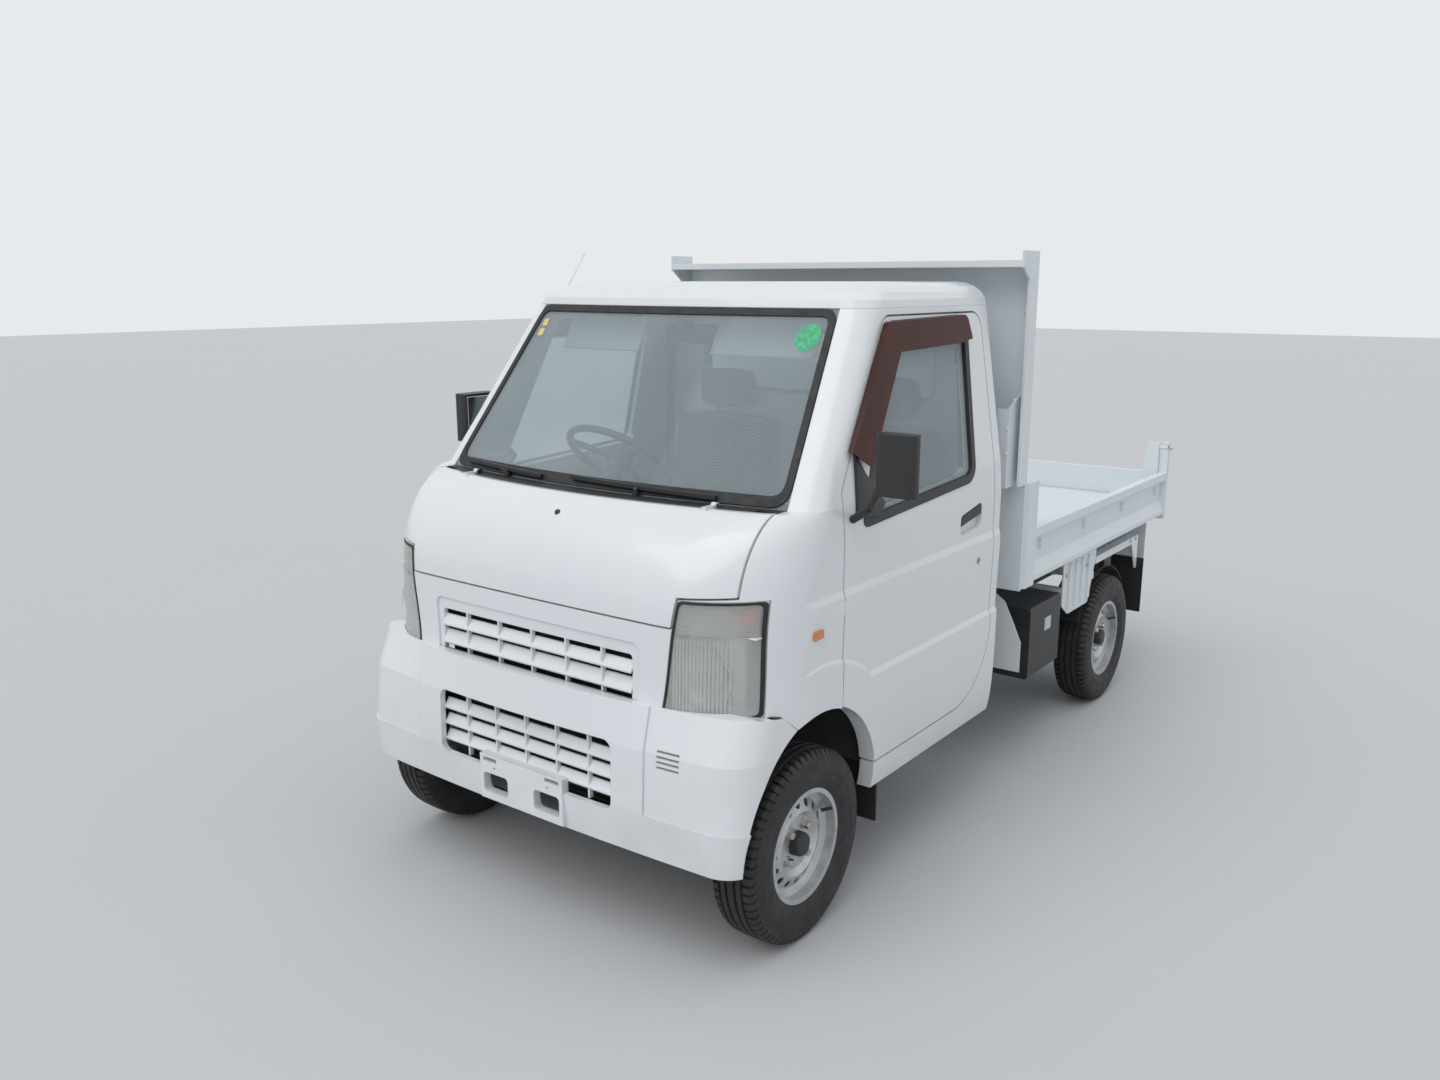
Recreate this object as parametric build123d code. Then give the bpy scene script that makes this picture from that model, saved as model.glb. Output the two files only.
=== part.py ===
from build123d import *
import os
from math import cos, radians, sin

# Kei dump truck. Millimetres. +X is the vehicle's left, -Y its front, +Z up.
# The origin is on the ground at the middle of the vehicle's length and width.

# Overall sizes
LENGTH = 3395
WIDTH = 1475
WHEELBASE = 2350
FRONT_OVERHANG = 380
TRACK = 1290
PANEL_GAP = 5
CLEAR = 0.3

NOSE = -LENGTH / 2
TAIL = LENGTH / 2
AXLE_F = NOSE + FRONT_OVERHANG
AXLE_R = AXLE_F + WHEELBASE
HALF = WIDTH / 2

# Wheels
TYRE_R = 271
TYRE_W = 145
TREAD_W = 112
BEAD_R = 152
RIM_W = 118
FLANGE_R = 166
RIM_WALL = 5
FLANGE_T = 3
WELL_DROP = 22
WELL_HALF = 20
WELL_IN = 30
DISC_OUT = 24
HUB_R = 32
VENT_COUNT = 16
VENT_R = 11
VENT_PITCH_R = 112
HUB_Z = TYRE_R
WHEEL_X = TRACK / 2

# Cab body below the belt: z, front edge from the front axle, bow, corner radius, side inset
LOWER_SECTIONS = (
    (330, -328, 12, 280, 19),
    (640, -338, 12, 295, 0),
    (930, -324, 16, 300, 1),
    (1010, -314, 22, 300, 3),
    (1100, -278, 48, 280, 7),
    (1190, -165, 105, 170, 14),
)
CAB_BACK = AXLE_F + 1110
BELT_Z = 1190
HEADER_Z = 1690
ROOF_Z = 1763
SIDE_WALL = 45
FRAME_WALL = 30
DOOR_WALL = 50
HOOD_WALL = 16
NOSE_WALL = 20
REAR_WALL = 28
ROOF_WALL = 22
GLASS_T = 5
# Greenhouse: z, front edge behind the front axle, bow, corner radius, side inset
UPPER_SECTIONS = (
    (BELT_Z, -88, 88, 95, 14),
    (HEADER_Z, 290, 64, 95, 92),
)
# The roof rolls over from the header to its flat top: rise and run of the shoulder, level by level
ROOF_RUN_FRONT = 180
ROOF_RUN_SIDE = 108
ROOF_STEPS = 5
ROOF_SECTIONS = [
    (
        HEADER_Z + (ROOF_Z - HEADER_Z) * sin(radians(90 * step / ROOF_STEPS)),
        290 + ROOF_RUN_FRONT * (1 - cos(radians(90 * step / ROOF_STEPS))),
        64 - 24 * step / ROOF_STEPS,
        95 + 65 * step / ROOF_STEPS,
        92 + ROOF_RUN_SIDE * (1 - cos(radians(90 * step / ROOF_STEPS))),
    )
    for step in range(ROOF_STEPS + 1)
]
ROOF_CHANNELS = (-420, -140, 140, 420)
CHANNEL_W = 150
CHANNEL_DEPTH = 8

# Panel lines of the cab
DOOR_FRONT = AXLE_F + 115
DOOR_REAR = AXLE_F + 1062
DOOR_SILL_Z = 412
DOOR_TOP_Z = 1672
DOOR_HEEL_R = 250
PILLAR_TOP = AXLE_F + 436
PILLAR_FOOT_Z = 1226
ARCH_R = 308
ARCH_Z = 350
ARCH_Y = AXLE_F + 5
SILL_Z = 330
BELT_STEP_Z = 957
LOW_STEP_Z = 692
STEP_DEPTH = 7
FLARE_OUT = 378
FLARE_Y = 12
FLARE_Z = 402
HOOD_HALF = 640
HOOD_LOW_Z = 919
LAMP_LOW_Z = 694
LAMP_TOP_Z = 995
LAMP_INNER_LOW = 466
LAMP_INNER_TOP = 506
LAMP_OUTER = 692
LAMP_SLOPE = (LAMP_INNER_TOP - LAMP_INNER_LOW) / (LAMP_TOP_Z - LAMP_LOW_Z)
LAMP_INNER_MID = LAMP_INNER_LOW + LAMP_SLOPE * (HOOD_LOW_Z - LAMP_LOW_Z)
BUMPER_TOP_Z = 712
SCREEN_HALF_LOW = 640
SCREEN_HALF_TOP = 566
DOOR_TOP_R = 60
DOOR_DEPTH_X = 480
HANDLE_DEPTH = 24
SEAL_W = 20
SEAL_T = 3
VISOR_OUT = 20
VISOR_T = 3
GLASS_IN = 10
LAMP_DEPTH = 60
LENS_T = 4
LAMP_WALL_IN = 70
BUMPER_SPLIT = -89
SHOULDER_Z = 638
SHOULDER_REAR_Z = 690
BUMPER_WALL = 18
BUMPER_SECTIONS = (
    (308, 366, 22, 90, 16),
    (430, 380, 26, 110, 0),
    (600, 380, 45, 120, 0),
    (712, 368, 88, 130, 2),
)
GRILLE_HALF = 385
GRILLE_LOW_Z = 700
GRILLE_TOP_Z = 864
GRILLE_Y = AXLE_F - 323
GRILLE_PITCH = 131
GRILLE_SLOTS = (830, 784, 730)
GRILLE_SLOT_H = 18
RECESS = 5
SLOT_HALF = 366
SLOT_LOW_Z = 706
SLOT_TOP_Z = 830
LOW_GRILLE_HALF = 335
LOW_GRILLE_Y = NOSE + 22
LOW_GRILLE_PITCH = 119
LOW_SLOTS = (592, 543, 494, 445)
LOW_SLOT_H = 22
CORNER_X = 440
CORNER_Z = 428
CORNER_STEP = 5
VENT_X = 478
VENT_W = 68
VENT_Z = 562
VENT_ROWS = 4
VENT_ROW_PITCH = 14
VENT_H = 6
LOW_GRILLE_Z0 = 412
LOW_GRILLE_Z1 = 604
COWL_T = 25
PLATE_HALF = 163
PLATE_Z0 = 316
PLATE_Z1 = 450
PLATE_HOLES = 210
PLATE_HOLE_Z = 414
PLATE_HOLE_R = 3.5
REAR_WALL_Z = 560
REAR_GLASS_HALF = 480
DOOR_PIN_X = HALF - 3
DOOR_PIN_Y = DOOR_FRONT + PANEL_GAP / 2
DOOR_PIN_R = 2.9
DOOR_PIN_H = 38
DOOR_PINS_Z = (643, 899)
LID_PIN_Y = AXLE_F - 85
LID_PIN_Z = 1195
LID_PIN_R = 4
LID_PIN_X = 450
LID_ARM_W = 16
LID_CORNER_X = 575

# Cab floor and what stands on it
SHEET = 12
FLOOR_TOP = DOOR_SILL_Z - PANEL_GAP
FOOTWELL_HALF = 425
FIREWALL_Y = AXLE_F - 140
HOUSING_REAR_Y = AXLE_F + 342
HOUSING_TOP = 668
RISER_Y = AXLE_F + 560
RISER_TOP = 712
SEAT_X = 335
SEAT_HALF = 240
WHEEL_CENTRE = (-340, AXLE_F + 435, 1180)
STEER_R = 183
STEER_TILT = 40
STEER_RIM = 12
HUB_HALF = 15
COLUMN_L = 255
CUSHION_T = 120

# Ladder frame: rails low under the cab, kicked up over the rear axle
RAIL_X0 = 305
RAIL_X1 = 355
RAIL_H = 84
FRONT_RAIL_Z = 310
REAR_RAIL_Z = 440
FRAME_FRONT = AXLE_F - 300
KICK_START = AXLE_F + 1180
KICK_END = AXLE_F + 1300
FRAME_REAR = AXLE_F + 2852
ENGINE_Z0 = 350

# Steering axis of the left knuckle: ball joint and strut top
BALL = (600, AXLE_F, 190)
STRUT_TOP = (515, AXLE_F, 625)
BALL_R = 16
STRUT_BALL_R = 14
ARM_T = 18
STUD_L = 48
DRUM_R = 95
DIFF_R = 88
DIFF_HALF = 75
HUB_FACE_X = WHEEL_X + DISC_OUT - 6 - CLEAR

# Tipping gear
HINGE_Y = AXLE_F + 2900
HINGE_Z = 640
HINGE_PIN_R = 14
BARREL_PIN = (0, AXLE_F + 2815, 480)
ROD_PIN = (0, AXLE_F + 2115, 600)
BARREL_R = 42
BARREL_WALL = 6
ROD_R = 20
SUBFRAME_Z = REAR_RAIL_Z + RAIL_H
SUBFRAME_TOP = 600
SUBFRAME_END = AXLE_F + 2845

# Bed
BED_FLOOR_Z = 785
BED_FLOOR_T = 6
BED_BEARER_Z = 712
BED_SILL_Z = 606
BED_FRONT = AXLE_F + 1320
BED_END = AXLE_F + 2975
BED_HALF = 700
SIDE_TOP_Z = 905
POST_TOP_Z = 1083
HEADBOARD_TOP = 1860
HEADBOARD_HALF = 732
FLANGE_Y = AXLE_F + 1196
WING_Y = AXLE_F + 1250
LIP_Z = 1830
GATE_Y = AXLE_F + 2981
GATE_T = 28
GATE_HALF = 684
GATE_PIN_Z = 1020
GATE_PIN_R = 8
POST_END_Z = 1045
SKIRT_X = 684
HOOK_COUNT = 4
HOOK_PITCH = 450
LINER_R = 313
LINER_T = 4


def block(x0, x1, y0, y1, z0, z1):
    """A box between six planes."""
    return Pos((x0 + x1) / 2, (y0 + y1) / 2, (z0 + z1) / 2) * Box(x1 - x0, y1 - y0, z1 - z0)


def bar(start, end, radius):
    """A round bar from one point to another."""
    run = Vector(*end) - Vector(*start)
    return Plane(origin=start, z_dir=run) * Pos(0, 0, run.length / 2) * Cylinder(radius, run.length)


def cross_bar(x0, x1, y, z, radius):
    """A round bar along X."""
    return bar((x0, y, z), (x1, y, z), radius)


def outline(points, rounds=()):
    """A flat closed outline; rounds lists (corner number, radius)."""
    face = make_face(Polyline(*points, close=True))
    for number, radius in rounds:
        corner = face.vertices().sort_by_distance((*points[number], 0))[0]
        face = fillet(corner, radius)
    return face


def side_prism(points, x0, x1, rounds=()):
    """An outline of (y, z) points, extruded along X."""
    return extrude(Plane.YZ.offset(x0) * outline(points, rounds), x1 - x0)


def front_prism(points, y0, y1, rounds=()):
    """An outline of (x, z) points, extruded along Y."""
    return extrude(Plane.XZ.offset(-y1) * outline(points, rounds), y1 - y0)


def plan_prism(points, z0, z1, rounds=()):
    """An outline of (x, y) points, extruded up."""
    return extrude(Plane.XY.offset(z0) * outline(points, rounds), z1 - z0)


def across(shape):
    """The same shape on the vehicle's other side."""
    return mirror(shape, about=Plane.YZ)


def pair(shape):
    """The shape and its mirror image."""
    return shape + across(shape)


def plan_face(z, front, bow, corner, half, back):
    """One level of the cab: a bowed front, round corners, straight sides and back."""
    edges = [
        ThreePointArc((-half, front + bow), (0, front), (half, front + bow)),
        Line((half, front + bow), (half, back)),
        Line((half, back), (-half, back)),
        Line((-half, back), (-half, front + bow)),
    ]
    face = make_face(Curve() + edges)
    corners = face.vertices().sort_by(Axis.Y)[:2]
    return Pos(0, 0, z) * fillet(corners, corner)


def cab_form(sections, inset, back, drop=0):
    """A loft through the levels of a section table, drawn in by the inset; the roof's levels also drop."""
    faces = []
    for number, (z, front, bow, corner, side) in enumerate(sections):
        level = z - drop if number else z
        faces.append(plan_face(level, AXLE_F + front + inset, bow, corner - inset, HALF - side - inset, back))
    return loft(faces, ruled=sections is not LOWER_SECTIONS)


FORMS = {}


def form(kind, inset, back=CAB_BACK):
    """One of the cab's three outer forms, drawn in by the inset; each is made once."""
    key = (kind, inset, back)
    if key not in FORMS:
        tables = {"lower": LOWER_SECTIONS, "upper": UPPER_SECTIONS, "roof": ROOF_SECTIONS}
        table, drop = tables[kind], inset if kind == "roof" else 0
        FORMS[key] = cab_form(table, inset, back, drop)
    return FORMS[key]


def skin(kind, outer, inner, back=CAB_BACK):
    """The wall of a cab form between two insets, open at the back."""
    return form(kind, outer, back) - form(kind, inner, back + SIDE_WALL)


def arch_cutter(grow=0):
    """The wheel opening through both sides of the body: round above, straight below."""
    radius = ARCH_R + grow
    legs = block(-WIDTH, WIDTH, ARCH_Y - radius, ARCH_Y + radius, 0, ARCH_Z)
    return cross_bar(-WIDTH, WIDTH, ARCH_Y, ARCH_Z, radius) + legs


def side_creases():
    """What is cut off the left side to leave the belt step, the lower step and the flare round the wheel."""
    reach, step = CAB_BACK - NOSE, HALF - STEP_DEPTH
    belt = front_prism(
        [
            (HALF, BELT_STEP_Z - 14),
            (step, BELT_STEP_Z + 10),
            (step + 0.8, 1090),
            (WIDTH, 1090),
            (WIDTH, BELT_STEP_Z - 14),
        ],
        NOSE, NOSE + reach,
    )
    lower = front_prism(
        [
            (HALF + 1, LOW_STEP_Z - 10),
            (step, LOW_STEP_Z + 8),
            (HALF, BELT_STEP_Z - 24),
            (WIDTH, BELT_STEP_Z - 24),
            (WIDTH, LOW_STEP_Z - 10),
        ],
        NOSE, NOSE + reach,
    )
    flare = Pos(HALF, ARCH_Y + FLARE_Y, FLARE_Z) * Rot(0, 90, 0) * Cone(FLARE_OUT + 60, FLARE_OUT - 60, 60)
    return belt + (lower - flare)


def door_face(shrink):
    """The door's outline seen from the side, as (y, z)."""
    face = outline(
        [
            (DOOR_FRONT, DOOR_SILL_Z),
            (DOOR_REAR, DOOR_SILL_Z),
            (DOOR_REAR, DOOR_TOP_Z),
            (PILLAR_TOP, DOOR_TOP_Z),
            (DOOR_FRONT, PILLAR_FOOT_Z),
        ],
        [(1, DOOR_HEEL_R), (2, DOOR_TOP_R), (3, DOOR_TOP_R)],
    )
    return offset(face, amount=-shrink) if shrink else face


def door_prism(shrink):
    """The door's outline as a solid through the left side."""
    return extrude(Plane.YZ.offset(DOOR_DEPTH_X) * door_face(shrink), WIDTH / 2)


def window_prism(grow=0):
    """The door window's outline as a solid through the left side."""
    face = outline(
        [
            (AXLE_F + 238, 1137),
            (AXLE_F + 895, 1171),
            (AXLE_F + 935, 1645),
            (AXLE_F + 458, 1636),
        ],
        [(1, 45), (2, 45), (3, 30)],
    )
    if grow:
        face = offset(face, amount=grow)
    return extrude(Plane.YZ.offset(DOOR_DEPTH_X) * face, WIDTH / 2)


def hood_prism(shrink):
    """The front lid's outline seen from the front."""
    face = outline(
        [
            (-LAMP_INNER_MID, HOOD_LOW_Z),
            (LAMP_INNER_MID, HOOD_LOW_Z),
            (LAMP_INNER_TOP, LAMP_TOP_Z),
            (HOOD_HALF, LAMP_TOP_Z + 6),
            (HOOD_HALF, BELT_Z + 20),
            (-HOOD_HALF, BELT_Z + 20),
            (-HOOD_HALF, LAMP_TOP_Z + 6),
            (-LAMP_INNER_TOP, LAMP_TOP_Z),
        ]
    )
    if shrink:
        face = offset(face, amount=-shrink, kind=Kind.INTERSECTION)
    return extrude(Plane.XZ.offset(-(AXLE_F + 60)) * face, FRONT_OVERHANG + 60)


def lamp_face():
    """The left headlamp's outline seen from the front."""
    return outline(
        [
            (LAMP_INNER_LOW, LAMP_LOW_Z),
            (LAMP_OUTER, LAMP_LOW_Z),
            (LAMP_OUTER, LAMP_TOP_Z),
            (LAMP_INNER_TOP, LAMP_TOP_Z),
        ]
    )


def lamp_prism(shrink=0):
    face = lamp_face()
    if shrink:
        face = offset(face, amount=-shrink, kind=Kind.INTERSECTION)
    return extrude(Plane.XZ.offset(-(AXLE_F - LAMP_DEPTH)) * face, FRONT_OVERHANG)


def grille_prism():
    """The grille panel's outline seen from the front."""
    return front_prism(
        [
            (-LAMP_INNER_LOW, LAMP_LOW_Z),
            (LAMP_INNER_LOW, LAMP_LOW_Z),
            (LAMP_INNER_MID, HOOD_LOW_Z),
            (-LAMP_INNER_MID, HOOD_LOW_Z),
        ],
        NOSE,
        AXLE_F - 100,
    )


def screen_prism():
    """The windscreen's outline seen from the front."""
    return front_prism(
        [
            (-SCREEN_HALF_LOW, BELT_Z),
            (SCREEN_HALF_LOW, BELT_Z),
            (SCREEN_HALF_TOP, HEADER_Z),
            (-SCREEN_HALF_TOP, HEADER_Z),
        ],
        NOSE,
        AXLE_F + 480,
    )


NODES = {}


def keep(node, *shapes):
    """Files the shapes of one sub-part under its name."""
    NODES[node] = Compound(children=[solid for shape in shapes for solid in shape.solids()])


def bumper_reach(gap):
    """The bumper's outline from the side, down to the line where it meets the fender."""
    split = AXLE_F + BUMPER_SPLIT - gap
    return side_prism(
        [
            (NOSE - 10, 0), (split, 0), (split, SHOULDER_Z), (split - 60, SHOULDER_REAR_Z - gap),
            (AXLE_F - 250, BUMPER_TOP_Z - gap),
            (AXLE_F - 252, BUMPER_TOP_Z + 1),
            (NOSE - 10, BUMPER_TOP_Z + 1),
        ],
        -WIDTH, WIDTH,
    )


def door_pins(radius, grow):
    """The left door's two hinge pins, or the round seats cut for them."""
    pins = []
    for z in DOOR_PINS_Z:
        foot, head = z - grow, z + DOOR_PIN_H + grow
        pins.append(bar((DOOR_PIN_X, DOOR_PIN_Y, foot), (DOOR_PIN_X, DOOR_PIN_Y, head), radius))
    return pins[0] + pins[1]


# Cab sides: fender, pillars and sill in one pressing round the door opening
def cab_side():
    reach = block(0, WIDTH, NOSE, CAB_BACK, SILL_Z, BELT_Z)
    lower = skin("lower", 0, SIDE_WALL) & reach
    lower -= hood_prism(0)
    lower -= lamp_prism()
    lower -= grille_prism()
    lower -= bumper_reach(0) & block(-WIDTH, WIDTH, NOSE - 10, AXLE_F, 0, LAMP_LOW_Z)
    lower -= arch_cutter()
    greenhouse = skin("upper", 0, FRAME_WALL) & block(0, WIDTH, NOSE, CAB_BACK, BELT_Z, HEADER_Z)
    greenhouse -= screen_prism()
    side = lower + greenhouse - door_prism(0) - side_creases()
    return side + door_pins(DOOR_PIN_R, 0)


side = cab_side()
keep("cab_side_left", side)
keep("cab_side_right", across(side))


def handle_face(shrink):
    """The door handle's cup seen from the side, higher at its rear end."""
    face = outline(
        [(AXLE_F + 815, 985), (AXLE_F + 966, 1000), (AXLE_F + 966, 1078), (AXLE_F + 815, 1052)],
        [(0, 25), (1, 25), (2, 16), (3, 16)],
    )
    return offset(face, amount=-shrink) if shrink else face


# Doors: one thick pressing with its window cut, hinged at the front edge
def door_panel():
    reach = block(0, WIDTH, NOSE, CAB_BACK, DOOR_SILL_Z, BELT_Z)
    lower = skin("lower", 0, DOOR_WALL) & reach & door_prism(PANEL_GAP)
    frame = skin("upper", 0, FRAME_WALL) & door_prism(PANEL_GAP)
    door = lower + frame
    door -= arch_cutter(PANEL_GAP)
    cup = extrude(Plane.YZ.offset(HALF - HANDLE_DEPTH) * handle_face(0), HALF)
    return door - window_prism() - door_pins(DOOR_PIN_R + CLEAR, 1) - side_creases() - cup


def door_pane():
    lower = skin("lower", GLASS_IN, GLASS_IN + GLASS_T) & window_prism()
    top = skin("upper", GLASS_IN, GLASS_IN + GLASS_T) & window_prism()
    return lower + top


door = door_panel()
keep("door_left", door)
keep("door_right", across(door))
pane = door_pane()
keep("door_glass_left", pane)
keep("door_glass_right", across(pane))


# Mirror, its arm and the door handle
def door_trim(folded):
    arm = bar((HALF - 8, AXLE_F + 155, 1150), (HALF + 45, AXLE_F + 150, 1185), 11)
    if folded:
        stem = bar((HALF + 45, AXLE_F + 150, 1185), (HALF + 95, AXLE_F + 230, 1300), 9)
        head = block(HALF + 84, HALF + 142, AXLE_F + 190, AXLE_F + 345, 1226, 1387)
    else:
        stem = bar((HALF + 45, AXLE_F + 150, 1185), (HALF + 90, AXLE_F + 160, 1290), 9)
        head = block(HALF + 62, HALF + 178, AXLE_F + 132, AXLE_F + 180, 1226, 1387)
    head = fillet(head.edges().filter_by(Axis.Z), 20)
    upper_half = side_prism(
        [(AXLE_F + 800, 1016), (AXLE_F + 980, 1042), (AXLE_F + 980, 1090), (AXLE_F + 800, 1090)], 0, WIDTH
    )
    handle = extrude(Plane.YZ.offset(HALF - HANDLE_DEPTH + CLEAR) * handle_face(4), HANDLE_DEPTH - 8)
    handle &= upper_half
    return arm + stem + head - form("lower", 0), handle, *window_seal()


def window_seal():
    """The rubber strip round the glass, lying on the door and reaching in to the pane."""
    ring = window_prism(SEAL_W) - window_prism(-6)
    below = block(0, WIDTH, NOSE, CAB_BACK, 0, BELT_Z)
    seal = (skin("upper", -SEAL_T, -CLEAR) & ring) + (skin("lower", -SEAL_T, -CLEAR) & ring & below)
    lip = window_prism() - window_prism(-6)
    seal += skin("upper", -CLEAR, GLASS_IN - CLEAR) & lip
    seal += skin("lower", -CLEAR, GLASS_IN - CLEAR) & lip & below
    return seal.solids()


def visor():
    """The smoked rain visor: a shell that stands off the window, closed along its upper edge."""
    edge = [(AXLE_F + 165, 1325), (AXLE_F + 428, 1654), (AXLE_F + 925, 1664), (AXLE_F + 948, 1590)]
    inner = [(AXLE_F + 870, 1580), (AXLE_F + 480, 1570), (AXLE_F + 255, 1275)]
    face = outline(edge + inner, [(1, 40), (2, 30)])
    rim = offset(face, amount=-VISOR_T, kind=Kind.INTERSECTION)
    depth = Plane.YZ.offset(DOOR_DEPTH_X)
    shell = skin("upper", -VISOR_OUT, VISOR_T - VISOR_OUT) & extrude(depth * face, WIDTH / 2)
    wall = skin("upper", -VISOR_OUT, -SEAL_T - CLEAR) & extrude(depth * (face - rim), WIDTH / 2)
    inner_edge = [
        (edge[0][0] - 5, 1200),
        edge[0],
        (AXLE_F + 470, 1580),
        (AXLE_F + 935, 1592),
        (AXLE_F + 1000, 1500),
        (AXLE_F + 1000, 1200),
    ]
    open_side = extrude(depth * outline(inner_edge), WIDTH / 2)
    return shell + (wall - open_side)


keep("door_trim_left", *door_trim(False))
keep("door_trim_right", *[across(piece) for piece in door_trim(True)])
rain_visor = visor()
keep("door_visor_left", rain_visor)
keep("door_visor_right", across(rain_visor))


# Front lid
hood = skin("lower", 0, HOOD_WALL) & hood_prism(PANEL_GAP)
arm = block(LID_PIN_X, LID_PIN_X + LID_ARM_W, AXLE_F - 132, LID_PIN_Y, LID_PIN_Z - 8, LID_PIN_Z + 2)
arm += cross_bar(LID_PIN_X, LID_PIN_X + LID_ARM_W, LID_PIN_Y, LID_PIN_Z, LID_PIN_R + 4)
arm -= cross_bar(LID_PIN_X - 1, LID_PIN_X + LID_ARM_W + 1, LID_PIN_Y, LID_PIN_Z, LID_PIN_R + CLEAR)
keep("front_lid", hood + pair(arm))

def louvres(half, tops, slot, front, depth):
    """Sloping blades, each filling the height between two slots; tops lists the slots' upper edges."""
    blades = []
    for top, below in zip(tops, tops[1:]):
        low, high = below, top - slot
        section = [(front, low), (front + depth, high), (front + depth, high - 7), (front + 3, low - 5)]
        blades.append(side_prism(section, -half, half))
    return blades


def dividers(pitch, z0, z1, front, depth):
    """Five upright webs across a grille."""
    return [block(x * pitch - 3, x * pitch + 3, front, front + depth, z0, z1) for x in range(-2, 3)]


# Grille panel between the lamps: a recessed field with three rows of slots
panel = skin("lower", 0, NOSE_WALL) & grille_prism()
field = [(-GRILLE_HALF, GRILLE_LOW_Z), (GRILLE_HALF, GRILLE_LOW_Z), (GRILLE_HALF + 8, GRILLE_TOP_Z),
         (-GRILLE_HALF - 8, GRILLE_TOP_Z)]
panel -= form("lower", -1) - form("lower", RECESS) & front_prism(field, NOSE, AXLE_F, [(2, 24), (3, 24)])
panel -= front_prism(
    [(-SLOT_HALF, SLOT_LOW_Z), (SLOT_HALF, SLOT_LOW_Z), (SLOT_HALF, SLOT_TOP_Z), (-SLOT_HALF, SLOT_TOP_Z)],
    NOSE, AXLE_F, [(2, 10), (3, 10)],
)
for web in louvres(SLOT_HALF, GRILLE_SLOTS, GRILLE_SLOT_H, GRILLE_Y, NOSE_WALL):
    panel += web
for web in dividers(GRILLE_PITCH, SLOT_LOW_Z, SLOT_TOP_Z, GRILLE_Y + 4, NOSE_WALL - 6):
    panel += web
keep("grille_panel", panel)

# Headlamps: a clear lens over an open housing
lens = skin("lower", 0, LENS_T) & lamp_prism()
housing = skin("lower", LENS_T, LAMP_WALL_IN) & lamp_prism()
housing -= skin("lower", LENS_T, LAMP_WALL_IN - 6) & lamp_prism(8)
keep("headlamp_lenses", lens, across(lens))
keep("headlamp_housings", housing, across(housing))


# Bumper
def bumper_form(inset, top):
    faces = []
    for z, reach, bow, corner, side in BUMPER_SECTIONS:
        front = AXLE_F - reach + inset
        faces.append(plan_face(min(z, top), front, bow, corner - inset, HALF - side - inset, AXLE_F))
    return loft(faces, ruled=True)


bumper = bumper_form(0, BUMPER_TOP_Z)
bumper -= pair(block(CORNER_X, WIDTH, NOSE - 10, AXLE_F, CORNER_Z, BUMPER_TOP_Z + 10)) - bumper_form(
    CORNER_STEP, BUMPER_TOP_Z
)
bumper -= bumper_form(BUMPER_WALL, LAMP_LOW_Z)
bumper -= form("lower", 0) & block(-WIDTH, WIDTH, NOSE, AXLE_F, LAMP_LOW_Z, BELT_Z)
bumper &= bumper_reach(3)
bumper -= arch_cutter()
low, high, half = LOW_GRILLE_Z0, LOW_GRILLE_Z1, LOW_GRILLE_HALF
bumper -= front_prism(
    [(-half, low), (half, low), (half, high), (-half, high)],
    NOSE - 10,
    AXLE_F,
    [(0, 26), (1, 26), (2, 26), (3, 26)],
)
grille = louvres(half, (high + 4, *LOW_SLOTS), LOW_SLOT_H, LOW_GRILLE_Y, 18)[1:]
grille += dividers(LOW_GRILLE_PITCH, low, high, LOW_GRILLE_Y + 4, 14)
for web in grille:
    bumper += web
for row in range(VENT_ROWS):
    z = VENT_Z + row * VENT_ROW_PITCH
    bumper -= block(VENT_X, VENT_X + VENT_W, NOSE - 10, AXLE_F - 200, z, z + VENT_H)
plate = front_prism(
    [(-PLATE_HALF, PLATE_Z0), (PLATE_HALF, PLATE_Z0), (PLATE_HALF, PLATE_Z1), (-PLATE_HALF, PLATE_Z1)],
    NOSE, LOW_GRILLE_Y + 3,
)
window = front_prism(
    [(52, 338), (150, 338), (150, 396), (52, 396)],
    NOSE - 10,
    NOSE + 50,
    [(0, 12), (1, 12), (2, 12), (3, 12)],
)
window += block(96, 150, NOSE - 10, LOW_GRILLE_Y + 3.5, 430, 442)
bumper += plate
bumper -= pair(window)
for x in (-PLATE_HOLES / 2, PLATE_HOLES / 2):
    bumper -= bar((x, NOSE - 1, PLATE_HOLE_Z), (x, NOSE + 3 * BUMPER_WALL, PLATE_HOLE_Z), PLATE_HOLE_R)
keep("front_bumper", bumper)

# Cowl under the windscreen
cowl = form("lower", HOOD_WALL + PANEL_GAP) & block(
    -HOOD_HALF + 3, HOOD_HALF - 3, NOSE, AXLE_F + 60, BELT_Z - COWL_T, BELT_Z
)
lug = block(LID_PIN_X - 6, LID_PIN_X - 1, LID_PIN_Y - 8, LID_PIN_Y + 8, BELT_Z - COWL_T, LID_PIN_Z + 7)
lug += cross_bar(LID_PIN_X - 6, LID_PIN_X + LID_ARM_W + 2, LID_PIN_Y, LID_PIN_Z, LID_PIN_R)
well_end = LID_PIN_X + LID_ARM_W + 6
well = block(LID_PIN_X - 1, well_end, LID_PIN_Y - 60, LID_PIN_Y + 14, LID_PIN_Z - 16, BELT_Z + 1)
pocket = block(LID_CORNER_X, WIDTH, LID_PIN_Y - 12, LID_PIN_Y + 34, BELT_Z - COWL_T - 1, BELT_Z + 1)
keep("cab_cowl", cowl - pair(well) - pair(pocket) + pair(lug))

# Windscreen
screen = skin("upper", 2, 2 + GLASS_T) & screen_prism()
keep("windscreen", screen)

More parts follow.
